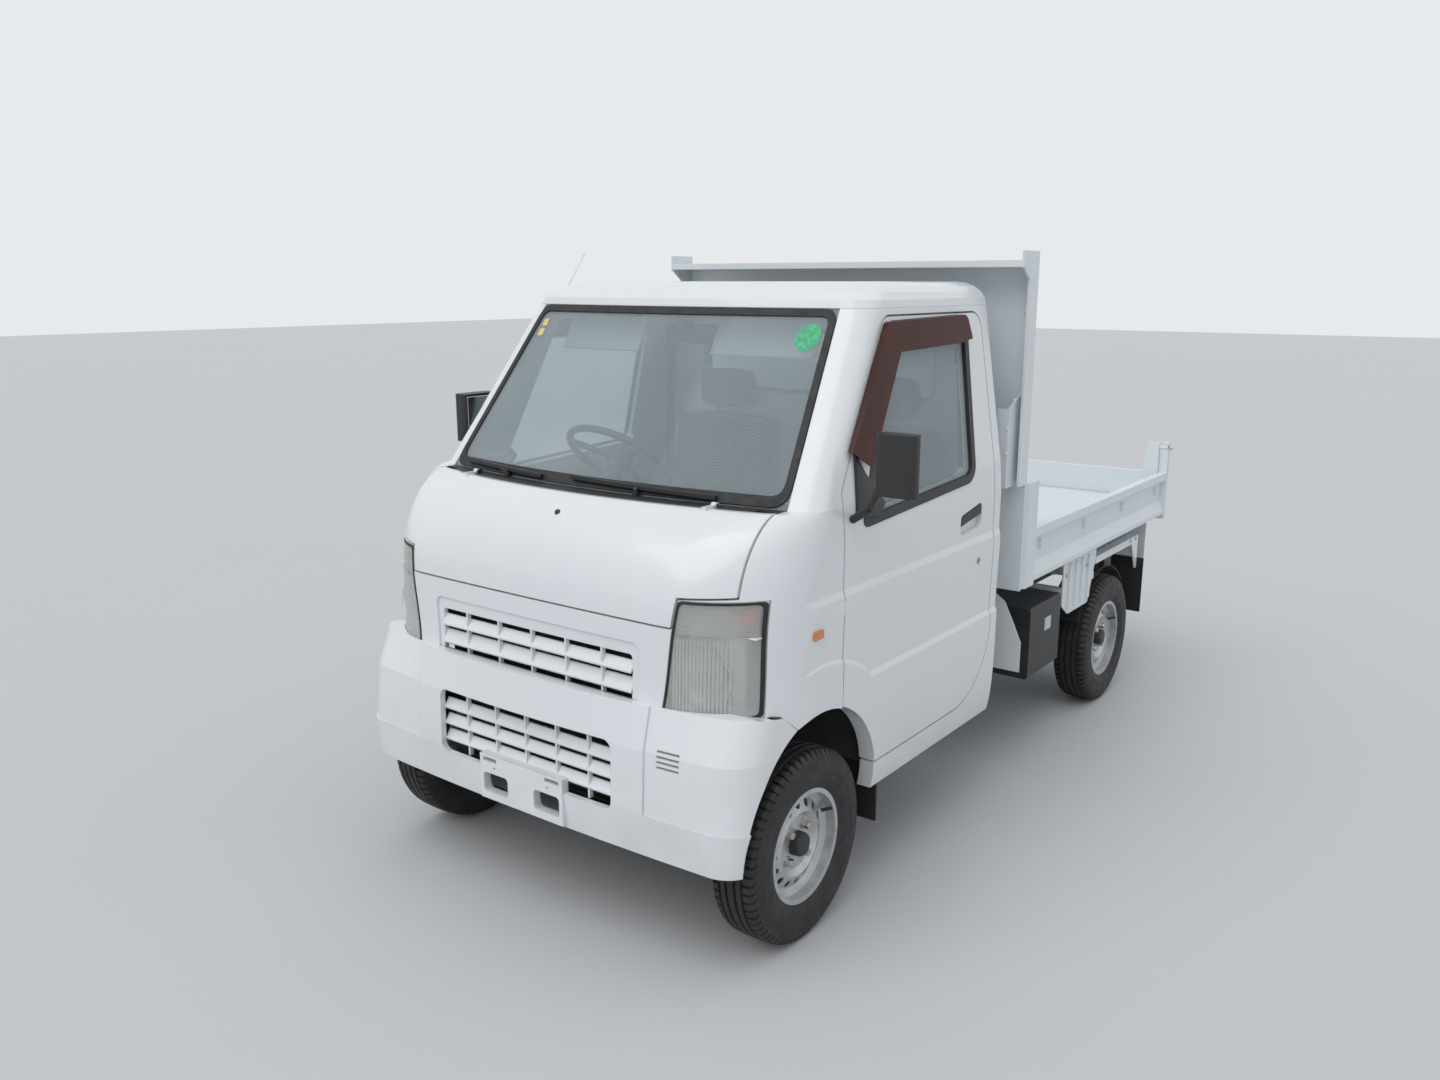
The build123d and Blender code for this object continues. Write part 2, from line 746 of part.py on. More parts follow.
# Roof
roof = skin("roof", 0, ROOF_WALL)
for x in ROOF_CHANNELS:
    low, high = ROOF_Z - CHANNEL_DEPTH, ROOF_Z + 1
    roof -= side_prism(
        [(AXLE_F + 560, low), (CAB_BACK - 50, low), (CAB_BACK - 20, high), (AXLE_F + 520, high)],
        x - CHANNEL_W / 2, x + CHANNEL_W / 2,
    )
keep("cab_roof", roof)

# Rear wall with its window
wall_slab = block(-WIDTH, WIDTH, CAB_BACK - REAR_WALL, CAB_BACK, REAR_WALL_Z, HEADER_Z)
wall = (form("lower", SIDE_WALL) & wall_slab) + (form("upper", FRAME_WALL) & wall_slab)
pane = front_prism(
    [(-REAR_GLASS_HALF, 1365), (REAR_GLASS_HALF, 1365), (REAR_GLASS_HALF, 1595), (-REAR_GLASS_HALF, 1595)],
    CAB_BACK - REAR_WALL, CAB_BACK, [(0, 40), (1, 40), (2, 40), (3, 40)],
)
keep("cab_rear_wall", wall - pane)
keep("rear_window", pane & block(-WIDTH, WIDTH, CAB_BACK - 16, CAB_BACK - 16 + GLASS_T, 0, HEADER_Z))


# Cab floor: footwell between the wheel housings, and the riser that carries the seats over the engine
def cab_floor():
    inside = form("lower", SIDE_WALL)
    cabin = form("lower", DOOR_WALL + PANEL_GAP)
    low = FLOOR_TOP - SHEET
    inner = FOOTWELL_HALF
    tray = block(-inner, inner, FIREWALL_Y - SHEET, HOUSING_REAR_Y, low, FLOOR_TOP)
    tray += block(-WIDTH, WIDTH, HOUSING_REAR_Y - SHEET, RISER_Y + SHEET, low, FLOOR_TOP) & inside
    fire = block(-WIDTH, WIDTH, FIREWALL_Y - SHEET, FIREWALL_Y, low, BELT_Z - COWL_T)
    fire &= form("lower", LAMP_WALL_IN + CLEAR)
    fire -= pair(block(inner + SHEET, WIDTH, NOSE, AXLE_F, low, HOUSING_TOP - SHEET))
    shelf = block(inner, WIDTH, FIREWALL_Y - SHEET, HOUSING_REAR_Y, HOUSING_TOP - SHEET, HOUSING_TOP)
    wall = block(inner, inner + SHEET, FIREWALL_Y - SHEET, HOUSING_REAR_Y, low, HOUSING_TOP)
    rear = block(inner, WIDTH, HOUSING_REAR_Y - SHEET, HOUSING_REAR_Y, low, HOUSING_TOP)
    riser = block(-WIDTH, WIDTH, RISER_Y, RISER_Y + SHEET, FLOOR_TOP, RISER_TOP)
    seat = block(-WIDTH, WIDTH, RISER_Y, CAB_BACK - REAR_WALL, RISER_TOP - SHEET, RISER_TOP)
    cheek = block(660, 660 + SHEET, RISER_Y + SHEET, CAB_BACK - REAR_WALL, low, RISER_TOP)
    return tray + ((fire + pair(shelf + wall + rear)) & cabin), (riser + seat + pair(cheek)) & cabin


floor, riser = cab_floor()
keep("cab_floor", floor)
keep("seat_riser", riser)


# Dashboard with the steering column
def tilted(angle):
    """The steering wheel's plane, tipped back towards the driver."""
    return Plane(origin=WHEEL_CENTRE, x_dir=(1, 0, 0), z_dir=(0, sin(radians(angle)), cos(radians(angle))))


dash = side_prism(
    [
        (FIREWALL_Y + CLEAR, BELT_Z - COWL_T - CLEAR),
        (AXLE_F + 120, BELT_Z - COWL_T - CLEAR),
        (AXLE_F + 270, 1090),
        (AXLE_F + 290, 980),
        (AXLE_F + 190, 850),
        (FIREWALL_Y + CLEAR, 850),
    ],
    -620, 620, [(1, 60), (2, 40), (3, 40)],
)
dash &= form("lower", DOOR_WALL + PANEL_GAP)
COLUMN_END = -HUB_HALF - CLEAR
column = tilted(STEER_TILT) * Pos(0, 0, COLUMN_END - COLUMN_L / 2) * Cylinder(30, COLUMN_L)
keep("dashboard", dash + column)

# Steering wheel: rim, hub and three spokes
rim = Torus(STEER_R, STEER_RIM)
hub = Cylinder(42, 2 * HUB_HALF)
wheel = rim + hub
for turn in (90, 210, 330):
    wheel += Rot(0, 0, turn) * Pos(STEER_R / 2, 0, 0) * Box(STEER_R, 26, 12)
keep("steering_wheel", tilted(STEER_TILT) * wheel)


# Seats
def seat(x):
    start, end = AXLE_F + 600, AXLE_F + 1030
    cushion = block(x - SEAT_HALF, x + SEAT_HALF, start, end, RISER_TOP, RISER_TOP + CUSHION_T)
    cushion = fillet(cushion.edges().filter_by(Axis.X), 30)
    low, top, rear = RISER_TOP + CUSHION_T + CLEAR, 1290, CAB_BACK - REAR_WALL - CLEAR
    lean = [(AXLE_F + 950, low), (AXLE_F + 1045, low), (rear, top - 40), (rear, top), (rear - 60, top)]
    back = side_prism(lean, x - SEAT_HALF + 10, x + SEAT_HALF - 10, [(4, 25)])
    rest = block(x - 125, x + 125, AXLE_F + 1010, AXLE_F + 1072, 1305, 1450)
    rest = fillet(rest.edges().filter_by(Axis.Y), 40)
    posts = [bar((x + side, AXLE_F + 1045, 1290), (x + side, AXLE_F + 1045, 1305), 6) for side in (-50, 50)]
    return cushion, back, rest, posts


cushions = [seat(x)[0] for x in (-SEAT_X, SEAT_X)]
keep("seat_cushions", *cushions)
backs = []
for x in (-SEAT_X, SEAT_X):
    cushion, back, rest, posts = seat(x)
    backs.append(back + posts[0] + posts[1] + rest)
keep("seat_backs", *backs)


# Ladder frame
def rail():
    low, high = FRONT_RAIL_Z, REAR_RAIL_Z
    return side_prism(
        [
            (FRAME_FRONT, low), (KICK_START, low), (KICK_END, high), (FRAME_REAR, high),
            (FRAME_REAR, high + RAIL_H), (KICK_END, high + RAIL_H), (KICK_START, low + RAIL_H),
            (FRAME_FRONT, low + RAIL_H),
        ],
        RAIL_X0, RAIL_X1,
    )


CROSS_MEMBERS = (
    # distance behind the front axle, z, depth, height
    (-300, FRONT_RAIL_Z, 60, 40),
    (820, FRONT_RAIL_Z, 60, 40),
    (1330, REAR_RAIL_Z, 50, 60),
    (1900, REAR_RAIL_Z, 50, 60),
    (2780, 400, 60, 44),
)
frame = pair(rail())
for start, z, depth, height in CROSS_MEMBERS:
    frame += block(-RAIL_X0, RAIL_X0, AXLE_F + start, AXLE_F + start + depth, z, z + height)
drop = block(RAIL_X0 - 12, RAIL_X0, AXLE_F + 2780, AXLE_F + 2840, 400, REAR_RAIL_Z + 20)
frame += pair(drop)
ear = block(52, 64, AXLE_F + 2790, AXLE_F + 2840, 444, 505)
frame += pair(ear)
frame += cross_bar(-64, 64, BARREL_PIN[1], BARREL_PIN[2], 12)
hanger = block(RAIL_X1, 455, AXLE_F + 1890, AXLE_F + 1930, 340, REAR_RAIL_Z + 30)
frame += pair(hanger)
hanger = block(RAIL_X1, 455, AXLE_F + 2780, AXLE_F + 2820, 350, REAR_RAIL_Z + 30)
frame += pair(hanger)
keep("chassis_frame", frame)

# Engine as one block on its cross member, radiator behind the bumper
ENGINE = block(-190, 190, AXLE_F + 640, AXLE_F + 1040, ENGINE_Z0, 650)
keep("engine_block", ENGINE)
keep("radiator", block(-250, 250, AXLE_F - 296, AXLE_F - 256, FRONT_RAIL_Z + 40, 680))

# Rear axle with its differential, leaf springs above it
axle = cross_bar(-582, 582, AXLE_R, HUB_Z, 32)
axle += Pos(0, AXLE_R, HUB_Z) * Rot(90, 0, 0) * Cylinder(DIFF_R, 2 * DIFF_HALF)
axle += pair(cross_bar(582, 640, AXLE_R, HUB_Z, DRUM_R))
axle += pair(cross_bar(560, HUB_FACE_X, AXLE_R, HUB_Z, 25))
axle += pair(block(395, 455, AXLE_R - 45, AXLE_R + 45, HUB_Z, HUB_Z + 45))
keep("rear_axle", axle)
springs = []
for leaf in range(3):
    half = 455 - leaf * 120
    z = HUB_Z + 45 + (2 - leaf) * 8
    springs.append(block(395, 455, AXLE_R - half, AXLE_R + half, z, z + 8))
spring = springs[0] + springs[1] + springs[2]
keep("leaf_springs", spring, across(spring))

# Front suspension: lower arms and strut tops
ARM_TOP = BALL[2] - BALL_R - CLEAR
arm = plan_prism(
    [(RAIL_X1, AXLE_F - 90), (600, AXLE_F - 25), (622, AXLE_F), (600, AXLE_F + 25), (RAIL_X1, AXLE_F + 90)],
    ARM_TOP - ARM_T, ARM_TOP, [(2, 12)],
)
arm += block(RAIL_X0, RAIL_X1, AXLE_F - 90, AXLE_F + 90, ARM_TOP - ARM_T, FRONT_RAIL_Z)
tower_z = STRUT_TOP[2] + STRUT_BALL_R + CLEAR
tower_end = HOUSING_TOP - SHEET
tower = Pos(STRUT_TOP[0], AXLE_F, (tower_z + tower_end) / 2) * Cylinder(50, tower_end - tower_z)
keep("front_suspension", arm, across(arm), tower, across(tower))


# Knuckles: hub carrier and strut tube, turning about the ball joint and the strut top
def knuckle():
    carrier = block(566, 586, AXLE_F - 40, AXLE_F + 40, 205, 330)
    carrier += cross_bar(560, HUB_FACE_X, AXLE_F, HUB_Z, 25)
    carrier += cross_bar(582, 640, AXLE_F, HUB_Z, DRUM_R)
    carrier += Pos(*BALL) * Sphere(BALL_R)
    axis = Vector(*STRUT_TOP) - Vector(*BALL)
    carrier += bar(BALL, Vector(*BALL) + axis.normalized() * STUD_L, 9)
    carrier += block(520, 568, AXLE_F - 18, AXLE_F + 18, 290, 330)
    carrier += bar((535, AXLE_F, 290), (518, AXLE_F, 540), 24)
    carrier += bar((518, AXLE_F, 540), STRUT_TOP, 11)
    carrier += Pos(*STRUT_TOP) * Sphere(STRUT_BALL_R)
    return carrier


keep("knuckle_left", knuckle())
keep("knuckle_right", across(knuckle()))


# Wheels, turned about the X axis. Profiles are (x from the wheel's middle, radius).
def turned(points, rounds=()):
    face = Plane.XY * outline(points, rounds)
    return revolve(face, Axis.X)


def tyre():
    half, tread = TYRE_W / 2, TREAD_W / 2
    seat = RIM_W / 2 - FLANGE_T - CLEAR
    return turned(
        [
            (-seat, BEAD_R), (-seat, FLANGE_R + 2), (-half + 4, BEAD_R + 36), (-half, BEAD_R + 60),
            (-half + 3, BEAD_R + 84), (-tread - 5, TYRE_R - 9), (-tread + 8, TYRE_R - 1), (0, TYRE_R),
            (tread - 8, TYRE_R - 1), (tread + 5, TYRE_R - 9), (half - 3, BEAD_R + 84),
            (half, BEAD_R + 60), (half - 4, BEAD_R + 36), (seat, FLANGE_R + 2), (seat, BEAD_R),
        ]
    )


def wheel_rim():
    half, t = RIM_W / 2, RIM_WALL
    seat, well = BEAD_R - CLEAR, BEAD_R - WELL_DROP
    barrel = turned(
        [
            (-half, BEAD_R - t), (-half, FLANGE_R), (FLANGE_T - half, FLANGE_R), (FLANGE_T - half, seat),
            (-WELL_IN, seat), (-WELL_HALF, well), (WELL_HALF, well), (WELL_IN, seat),
            (half - FLANGE_T, seat), (half - FLANGE_T, FLANGE_R), (half, FLANGE_R), (half, BEAD_R - t),
            (WELL_IN, BEAD_R - t), (WELL_HALF, well - t), (-WELL_HALF, well - t), (-WELL_IN, BEAD_R - t),
        ]
    )
    face = DISC_OUT
    disc = turned(
        [
            (face, 0), (face, 76), (face + 14, 90), (face - 4, BEAD_R - WELL_DROP - 2),
            (face - 8, BEAD_R - WELL_DROP - 2), (face + 8, 88), (face - 6, 74), (face - 6, 0),
        ]
    )
    wheel = barrel + disc
    for number in range(VENT_COUNT):
        hole = Pos(face, 0, VENT_PITCH_R) * Rot(0, 90, 0) * Cylinder(VENT_R, 60)
        wheel -= Rot(360 * number / VENT_COUNT, 0, 0) * hole
    cap = turned([(face, 0), (face, HUB_R), (face + 22, HUB_R - 4), (face + 26, 0)])
    return wheel + cap


TYRE = tyre()
WHEEL_RIM = wheel_rim()
for side in ("left", "right"):
    for end, axle_y in (("front", AXLE_F), ("rear", AXLE_R)):
        place = Pos(WHEEL_X, axle_y, HUB_Z)
        for kind, solid in (("rim", WHEEL_RIM), ("tyre", TYRE)):
            wheel = place * solid
            keep(f"wheel_{kind}_{end}_{side}", wheel if side == "left" else across(wheel))


# Tipping subframe on the frame, with the hinge ears, hinge pins and outriggers
subframe = block(RAIL_X0, RAIL_X1, AXLE_F + 1320, SUBFRAME_END, SUBFRAME_Z, SUBFRAME_TOP)
for ear_x, pad_x in ((RAIL_X0 - 20, RAIL_X0), (RAIL_X1 + 6, RAIL_X1)):
    low_x = min(ear_x, pad_x)
    subframe += block(low_x, low_x + 20, SUBFRAME_END - 60, SUBFRAME_END, SUBFRAME_Z, SUBFRAME_TOP - 8)
    subframe += block(ear_x, ear_x + 14, SUBFRAME_END - 50, HINGE_Y + 26, SUBFRAME_Z, HINGE_Z + 28)
subframe += cross_bar(RAIL_X0 - 20, RAIL_X1 + 20, HINGE_Y, HINGE_Z, HINGE_PIN_R)
for start in (1850, 2180, 2716):
    subframe += block(RAIL_X1, SKIRT_X, AXLE_F + start, AXLE_F + start + 34, 560, 590)
subframe = pair(subframe)
for start in (1320, 1960):
    subframe += block(-RAIL_X0, RAIL_X0, AXLE_F + start, AXLE_F + start + 40, SUBFRAME_Z, SUBFRAME_Z + 50)
keep("tipping_subframe", subframe)

# Ribbed guards ahead of the rear wheels, with the rail over each wheel
guard = side_prism(
    [
        (AXLE_F + 1850, 520), (AXLE_F + 1850, 689), (AXLE_F + 2209, 689), (AXLE_F + 2209, 654),
        (AXLE_F + 2139, 475), (AXLE_F + 1920, 475),
    ],
    SKIRT_X, SKIRT_X + 6, [(0, 20), (4, 15), (5, 20)],
)
for rib in range(4):
    y = AXLE_F + 1900 + rib * 70
    guard += block(SKIRT_X + 6, SKIRT_X + 14, y, y + 24, 500, 680)
guard += block(SKIRT_X - 30, SKIRT_X + 6, AXLE_F + 2209, AXLE_F + 2739, 622, 652)
guard += side_prism(
    [(AXLE_F + 2660, 652), (AXLE_F + 2758, 652), (AXLE_F + 2758, 500), (AXLE_F + 2740, 500)],
    SKIRT_X,
    SKIRT_X + 6,
)
keep("rear_guards", guard, across(guard))

# Splash plates behind the cab, bolted to the frame
splash = front_prism(
    [
        (RAIL_X1, 440),
        (627, 400),
        (735, 400),
        (735, 511),
        (706, 574),
        (668, 652),
        (615, 690),
        (615, 524),
        (RAIL_X1, 524),
    ],
    AXLE_F + 1341, AXLE_F + 1344,
)
keep("splash_plates", splash, across(splash))

# Mud flaps of black rubber, and the liner over each rear wheel
liner = cross_bar(560, 682, AXLE_R, HUB_Z, LINER_R) - cross_bar(559, 690, AXLE_R, HUB_Z, LINER_R - LINER_T)
liner &= block(0, WIDTH, AXLE_R - 280, AXLE_R + 280, HUB_Z + 120, HUB_Z + LINER_R)
liner += block(656, 682, AXLE_R - 8, AXLE_R + 8, HUB_Z + LINER_R - 2, 622 - CLEAR)
flap = block(560, 722, HOUSING_REAR_Y, HOUSING_REAR_Y + 7, 215, SILL_Z - 1)
flap += block(560, 666, HOUSING_REAR_Y, HOUSING_REAR_Y + 7, SILL_Z - 1, FLOOR_TOP - SHEET)
rear_flap = block(575, 720, AXLE_F + 2758, AXLE_F + 2765, 295, 545)
keep("mud_flaps", flap, across(flap), rear_flap, across(rear_flap), liner, across(liner))

# Rear bar with its lamp plates, and the lamps
rear_bar = block(-690, 690, FRAME_REAR, FRAME_REAR + 14, 456, 520)
rear_bar += pair(block(420, 690, FRAME_REAR + 8, FRAME_REAR + 14, 494, 688))
keep("rear_bar", rear_bar)
lamp = block(470, 640, FRAME_REAR + 14, FRAME_REAR + 44, 570, 650)
lamp = fillet(lamp.edges().filter_by(Axis.Y), 8)
keep("tail_lamps", lamp, across(lamp))

# Battery box on the left, fuel tank on the right
box = block(470, 698, AXLE_F + 1516, AXLE_F + 1814, 315, 586)
box = fillet(box.edges().filter_by(Axis.Y), 12)
box += block(RAIL_X1, 471, AXLE_F + 1600, AXLE_F + 1730, 460, 500)
keep("battery_box", box)
tank = block(-660, -390, AXLE_F + 1380, AXLE_F + 1830, 290, 500)
tank = fillet(tank.edges().filter_by(Axis.Y), 40)
tank += block(-391, -RAIL_X1, AXLE_F + 1450, AXLE_F + 1500, 440, 480)
tank += block(-391, -RAIL_X1, AXLE_F + 1700, AXLE_F + 1750, 440, 480)
keep("fuel_tank", tank)

# Propeller shaft and silencer
shaft = bar((0, AXLE_F + 1030, 420), (0, AXLE_R - DIFF_HALF + 10, 285), 24)
shaft -= block(-60, 60, AXLE_R - DIFF_HALF, AXLE_R, 200, 400)
silencer = bar((-200, AXLE_F + 1360, 345), (-200, AXLE_F + 1800, 345), 68)
silencer += block(-210, -190, AXLE_F + 1340, AXLE_F + 1375, 345, REAR_RAIL_Z)
silencer += bar((-200, AXLE_F + 1790, 345), (-200, AXLE_F + 1960, 345), 19)
silencer += bar((-150, AXLE_F + 1040, 420), (-190, AXLE_F + 1380, 360), 19)
keep("driveline", shaft - ENGINE, silencer - ENGINE)


# Bed: floor on bearers and sills, side boards, corner posts, hinged on the subframe's pins
bed = block(-BED_HALF, BED_HALF, BED_FRONT, BED_END, BED_FLOOR_Z - BED_FLOOR_T, BED_FLOOR_Z)
BEARERS = (1320, 1700, 2095, 2500, 2930)
for start in BEARERS:
    bearer_y = AXLE_F + start
    bed += block(-BED_HALF, BED_HALF, bearer_y, bearer_y + 40, BED_BEARER_Z, BED_FLOOR_Z - BED_FLOOR_T)
half = block(RAIL_X0, RAIL_X1, BED_FRONT, HINGE_Y + 30, BED_SILL_Z, BED_FLOOR_Z - BED_FLOOR_T)
half -= cross_bar(RAIL_X0 - 1, RAIL_X1 + 1, HINGE_Y, HINGE_Z, HINGE_PIN_R + CLEAR)
half += plan_prism(
    [
        (660, BED_FRONT), (700, BED_FRONT), (735, BED_FRONT + 30), (735, AXLE_F + 1427), (660, AXLE_F + 1427),
    ],
    706, POST_TOP_Z,
)
side_start, side_end = AXLE_F + 1427, AXLE_F + 2990
half += block(694, 702, side_start, side_end, BED_BEARER_Z, SIDE_TOP_Z)
half += front_prism([(694, BED_BEARER_Z), (722, BED_BEARER_Z), (722, 730), (702, 775)], side_start, side_end)
half += front_prism(
    [(690, SIDE_TOP_Z), (722, SIDE_TOP_Z), (722, 872), (702, 858), (690, 858)], side_start, side_end
)
post_end = block(698, 725, side_end, TAIL, 690, POST_END_Z)
post_end += block(690, 725, side_end, TAIL, 690, SIDE_TOP_Z)
half += post_end
half -= cross_bar(600, 760, GATE_Y + 14, GATE_PIN_Z, GATE_PIN_R + CLEAR)
for hook in range(HOOK_COUNT):
    y = side_start + 110 + hook * HOOK_PITCH
    half += block(701, 714, y, y + 10, 812, 850)
bed += pair(half)
ear = block(26, 36, ROD_PIN[1] - 35, ROD_PIN[1] + 35, ROD_PIN[2] - 38, BED_BEARER_Z)
ear -= cross_bar(20, 40, ROD_PIN[1], ROD_PIN[2], 24)
bed += pair(ear)
keep("bed_body", bed)

# Headboard: a sheet with a lipped top edge, side wings and a short angle post in front of each end
board = block(-HEADBOARD_HALF, HEADBOARD_HALF, BED_FRONT - 12, BED_FRONT, 706, LIP_Z)
board += block(-HEADBOARD_HALF, HEADBOARD_HALF, FLANGE_Y, BED_FRONT, LIP_Z - 6, LIP_Z)
board += block(-HEADBOARD_HALF, HEADBOARD_HALF, FLANGE_Y, FLANGE_Y + 6, LIP_Z - 22, LIP_Z)
wing = side_prism(
    [
        (WING_Y, POST_TOP_Z), (BED_FRONT, POST_TOP_Z), (BED_FRONT, HEADBOARD_TOP), (FLANGE_Y, HEADBOARD_TOP),
        (FLANGE_Y, LIP_Z - 22), (WING_Y, LIP_Z - 62),
    ],
    HEADBOARD_HALF - 8, HEADBOARD_HALF,
)
angle = block(664, 706, FLANGE_Y + 4, FLANGE_Y + 10, POST_TOP_Z, 1350)
angle += block(700, 706, FLANGE_Y + 4, BED_FRONT - 11, POST_TOP_Z, 1350)
angle += side_prism(
    [(FLANGE_Y + 4, 1349), (BED_FRONT - 11, 1349), (BED_FRONT - 11, 1400)], 700, 706
)
board += pair(wing + angle)
keep("bed_headboard", board)

# Tailgate, hung from two pins at the top of the end posts
gate = block(-GATE_HALF, GATE_HALF, GATE_Y, GATE_Y + GATE_T, 715, SIDE_TOP_Z)
ear = front_prism(
    [(612, SIDE_TOP_Z - 1), (GATE_HALF, SIDE_TOP_Z - 1), (GATE_HALF, 1038), (632, 1038)],
    GATE_Y,
    GATE_Y + GATE_T,
)
gate += pair(ear + cross_bar(GATE_HALF - 1, 720, GATE_Y + 14, GATE_PIN_Z, GATE_PIN_R))
keep("tailgate", gate)

# Tipping cylinder: barrel on the frame's pin, rod up to the bed's ears
run = Vector(*ROD_PIN) - Vector(*BARREL_PIN)
along = Plane(origin=BARREL_PIN, x_dir=(1, 0, 0), z_dir=run)
LIFT = run.length


def tube(start, end, outer, inner=0):
    """A round tube along the cylinder's own line, measured from the barrel's pin."""
    body = Pos(0, 0, (start + end) / 2) * Cylinder(outer, end - start)
    if inner:
        body -= Pos(0, 0, (start + end) / 2) * Cylinder(inner, end - start)
    return body


def eye(at, outer, half):
    return Pos(0, 0, at) * Rot(0, 90, 0) * Cylinder(outer, 2 * half)


barrel = tube(60, 560, BARREL_R, BARREL_R - BARREL_WALL) + tube(560, 590, BARREL_R, ROD_R + CLEAR)
barrel += tube(40, 70, BARREL_R - 2) + tube(0, 45, 20) + eye(0, 26, 34)
barrel -= eye(0, 12 + CLEAR, 60)
keep("cylinder_barrel", along * barrel)
rod = tube(130, LIFT, ROD_R) + tube(100, 130, BARREL_R - BARREL_WALL - CLEAR)
rod += eye(LIFT, 27, 20) + eye(LIFT, 11, 44)
keep("cylinder_rod", along * rod)


# Wipers on the windscreen and side markers
def screen_point(x, z, out=0):
    """A point on the windscreen's face, or ahead of it."""
    (z0, f0, b0, c0, s0), (z1, f1, b1, c1, s1) = UPPER_SECTIONS
    t = (z - z0) / (z1 - z0)
    front, bow = f0 + (f1 - f0) * t, b0 + (b1 - b0) * t
    half = HALF - (s0 + (s1 - s0) * t)
    return (x, AXLE_F + front + bow * (x / half) ** 2 - out, z)


WIPERS = (
    # pivot x, blade from x, blade to x
    (-330, -560, -180),
    (190, -60, 440),
)
def screen_rod(x0, z0, x1, z1, out, radius):
    """A thin rod that follows the windscreen's bow."""
    mid = (x0 + x1) / 2, (z0 + z1) / 2
    ends = screen_point(x0, z0, out), screen_point(*mid, out), screen_point(x1, z1, out)
    path = ThreePointArc(*ends)
    return sweep(Plane(origin=path @ 0, z_dir=path % 0) * Rectangle(2 * radius, 2 * radius), path=path)


arms = []
for pivot, blade_from, blade_to in WIPERS:
    blade = screen_rod(blade_from, 1218, blade_to, 1208, 14, 6)
    arm = screen_rod(pivot, 1204, (blade_from + blade_to) / 2, 1213, 20, 5)
    foot = screen_point(pivot, 1204, 20)
    arms.append(blade + arm + bar((*foot[:2], BELT_Z), foot, 9))
keep("wipers", *arms)
marker = block(HALF - 4, HALF + 6, AXLE_F - 36, AXLE_F + 4, 866, 888)
marker -= form("lower", 0)
keep("cab_trim", marker, across(marker))


os.makedirs("parts", exist_ok=True)
for node, shape in NODES.items():
    export_step(shape, f"parts/{node}.step")
print(len(NODES), "nodes")
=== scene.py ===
from math import cos, pi, radians, sin, sqrt

import bmesh
import bpy
from mathutils import Matrix, Vector
from mathutils.bvhtree import BVHTree


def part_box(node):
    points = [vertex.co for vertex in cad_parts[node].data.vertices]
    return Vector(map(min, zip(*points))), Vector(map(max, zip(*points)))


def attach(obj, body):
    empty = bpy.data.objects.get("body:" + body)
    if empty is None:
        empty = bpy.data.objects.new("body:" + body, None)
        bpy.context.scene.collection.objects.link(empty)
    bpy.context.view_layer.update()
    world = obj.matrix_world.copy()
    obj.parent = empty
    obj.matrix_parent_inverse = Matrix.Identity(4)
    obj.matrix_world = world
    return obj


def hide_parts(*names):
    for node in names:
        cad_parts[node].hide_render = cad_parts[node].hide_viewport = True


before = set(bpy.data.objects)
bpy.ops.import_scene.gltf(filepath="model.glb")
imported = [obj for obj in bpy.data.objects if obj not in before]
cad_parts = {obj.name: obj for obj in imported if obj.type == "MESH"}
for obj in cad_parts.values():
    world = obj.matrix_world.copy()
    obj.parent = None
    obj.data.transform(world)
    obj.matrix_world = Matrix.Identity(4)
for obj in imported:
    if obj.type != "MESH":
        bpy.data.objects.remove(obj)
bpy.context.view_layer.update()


# The view: the photograph's own viewpoint, at the height of a standing person's eyes, ahead of
# the truck and to its left.
camera = bpy.data.objects.new("Camera", bpy.data.cameras.new("Camera"))
bpy.context.scene.collection.objects.link(camera)
camera.location = (2.246, -3.7517, 1.762)
camera.rotation_euler = (radians(77.40), 0, radians(37.02))
camera.data.lens = 28.89
camera.data.sensor_width = 36
bpy.context.scene.camera = camera
bpy.context.scene.view_settings.view_transform = "Standard"


# The room: a plain pale floor, a white background for the eye and for reflections, and the soft
# even light of an overcast day from above.
def daylight(name, direction, spread, strength):
    light = bpy.data.lights.new(name, "SUN")
    light.angle, light.energy = radians(spread), strength
    holder = bpy.data.objects.new(name, light)
    holder.rotation_euler = Vector(direction).to_track_quat("-Z", "Y").to_euler()
    bpy.context.scene.collection.objects.link(holder)


def maths(owner, operation, *values):
    """Works out one step on sockets and plain numbers, in a material or in the sky."""
    node = owner.node_tree.nodes.new("ShaderNodeMath")
    node.operation = operation
    for number, value in enumerate(values):
        if isinstance(value, (int, float)):
            node.inputs[number].default_value = value
        else:
            owner.node_tree.links.new(value, node.inputs[number])
    return node.outputs[0]


def white_to_the_eye(sky, colour, strength):
    """Shows a white background to rays that the eye, a mirror or a pane sends out."""
    tree = sky.node_tree
    rays = tree.nodes.new("ShaderNodeLightPath")
    bounced = maths(sky, "MAXIMUM", rays.outputs["Is Glossy Ray"], rays.outputs["Is Transmission Ray"])
    seen = maths(sky, "MAXIMUM", rays.outputs["Is Camera Ray"], bounced)
    white = tree.nodes.new("ShaderNodeBackground")
    white.inputs["Color"].default_value = colour
    white.inputs["Strength"].default_value = strength
    mix = tree.nodes.new("ShaderNodeMixShader")
    tree.links.new(seen, mix.inputs["Fac"])
    tree.links.new(tree.nodes["Background"].outputs[0], mix.inputs[1])
    tree.links.new(white.outputs[0], mix.inputs[2])
    tree.links.new(mix.outputs[0], tree.nodes["World Output"].inputs["Surface"])


overcast = bpy.data.worlds.new("Sky")
overcast.use_nodes = True
bpy.context.scene.world = overcast
overcast_light = overcast.node_tree.nodes["Background"]
overcast_light.inputs["Color"].default_value = (0.92, 0.96, 1.0, 1)
overcast_light.inputs["Strength"].default_value = 0.52
white_to_the_eye(overcast, (0.93, 0.95, 0.97, 1), 0.86)
daylight("Key", (0.10, 0.80, -1.1), spread=60, strength=1.15)
daylight("Overhead", (-0.5, -0.2, -1.6), spread=90, strength=0.40)


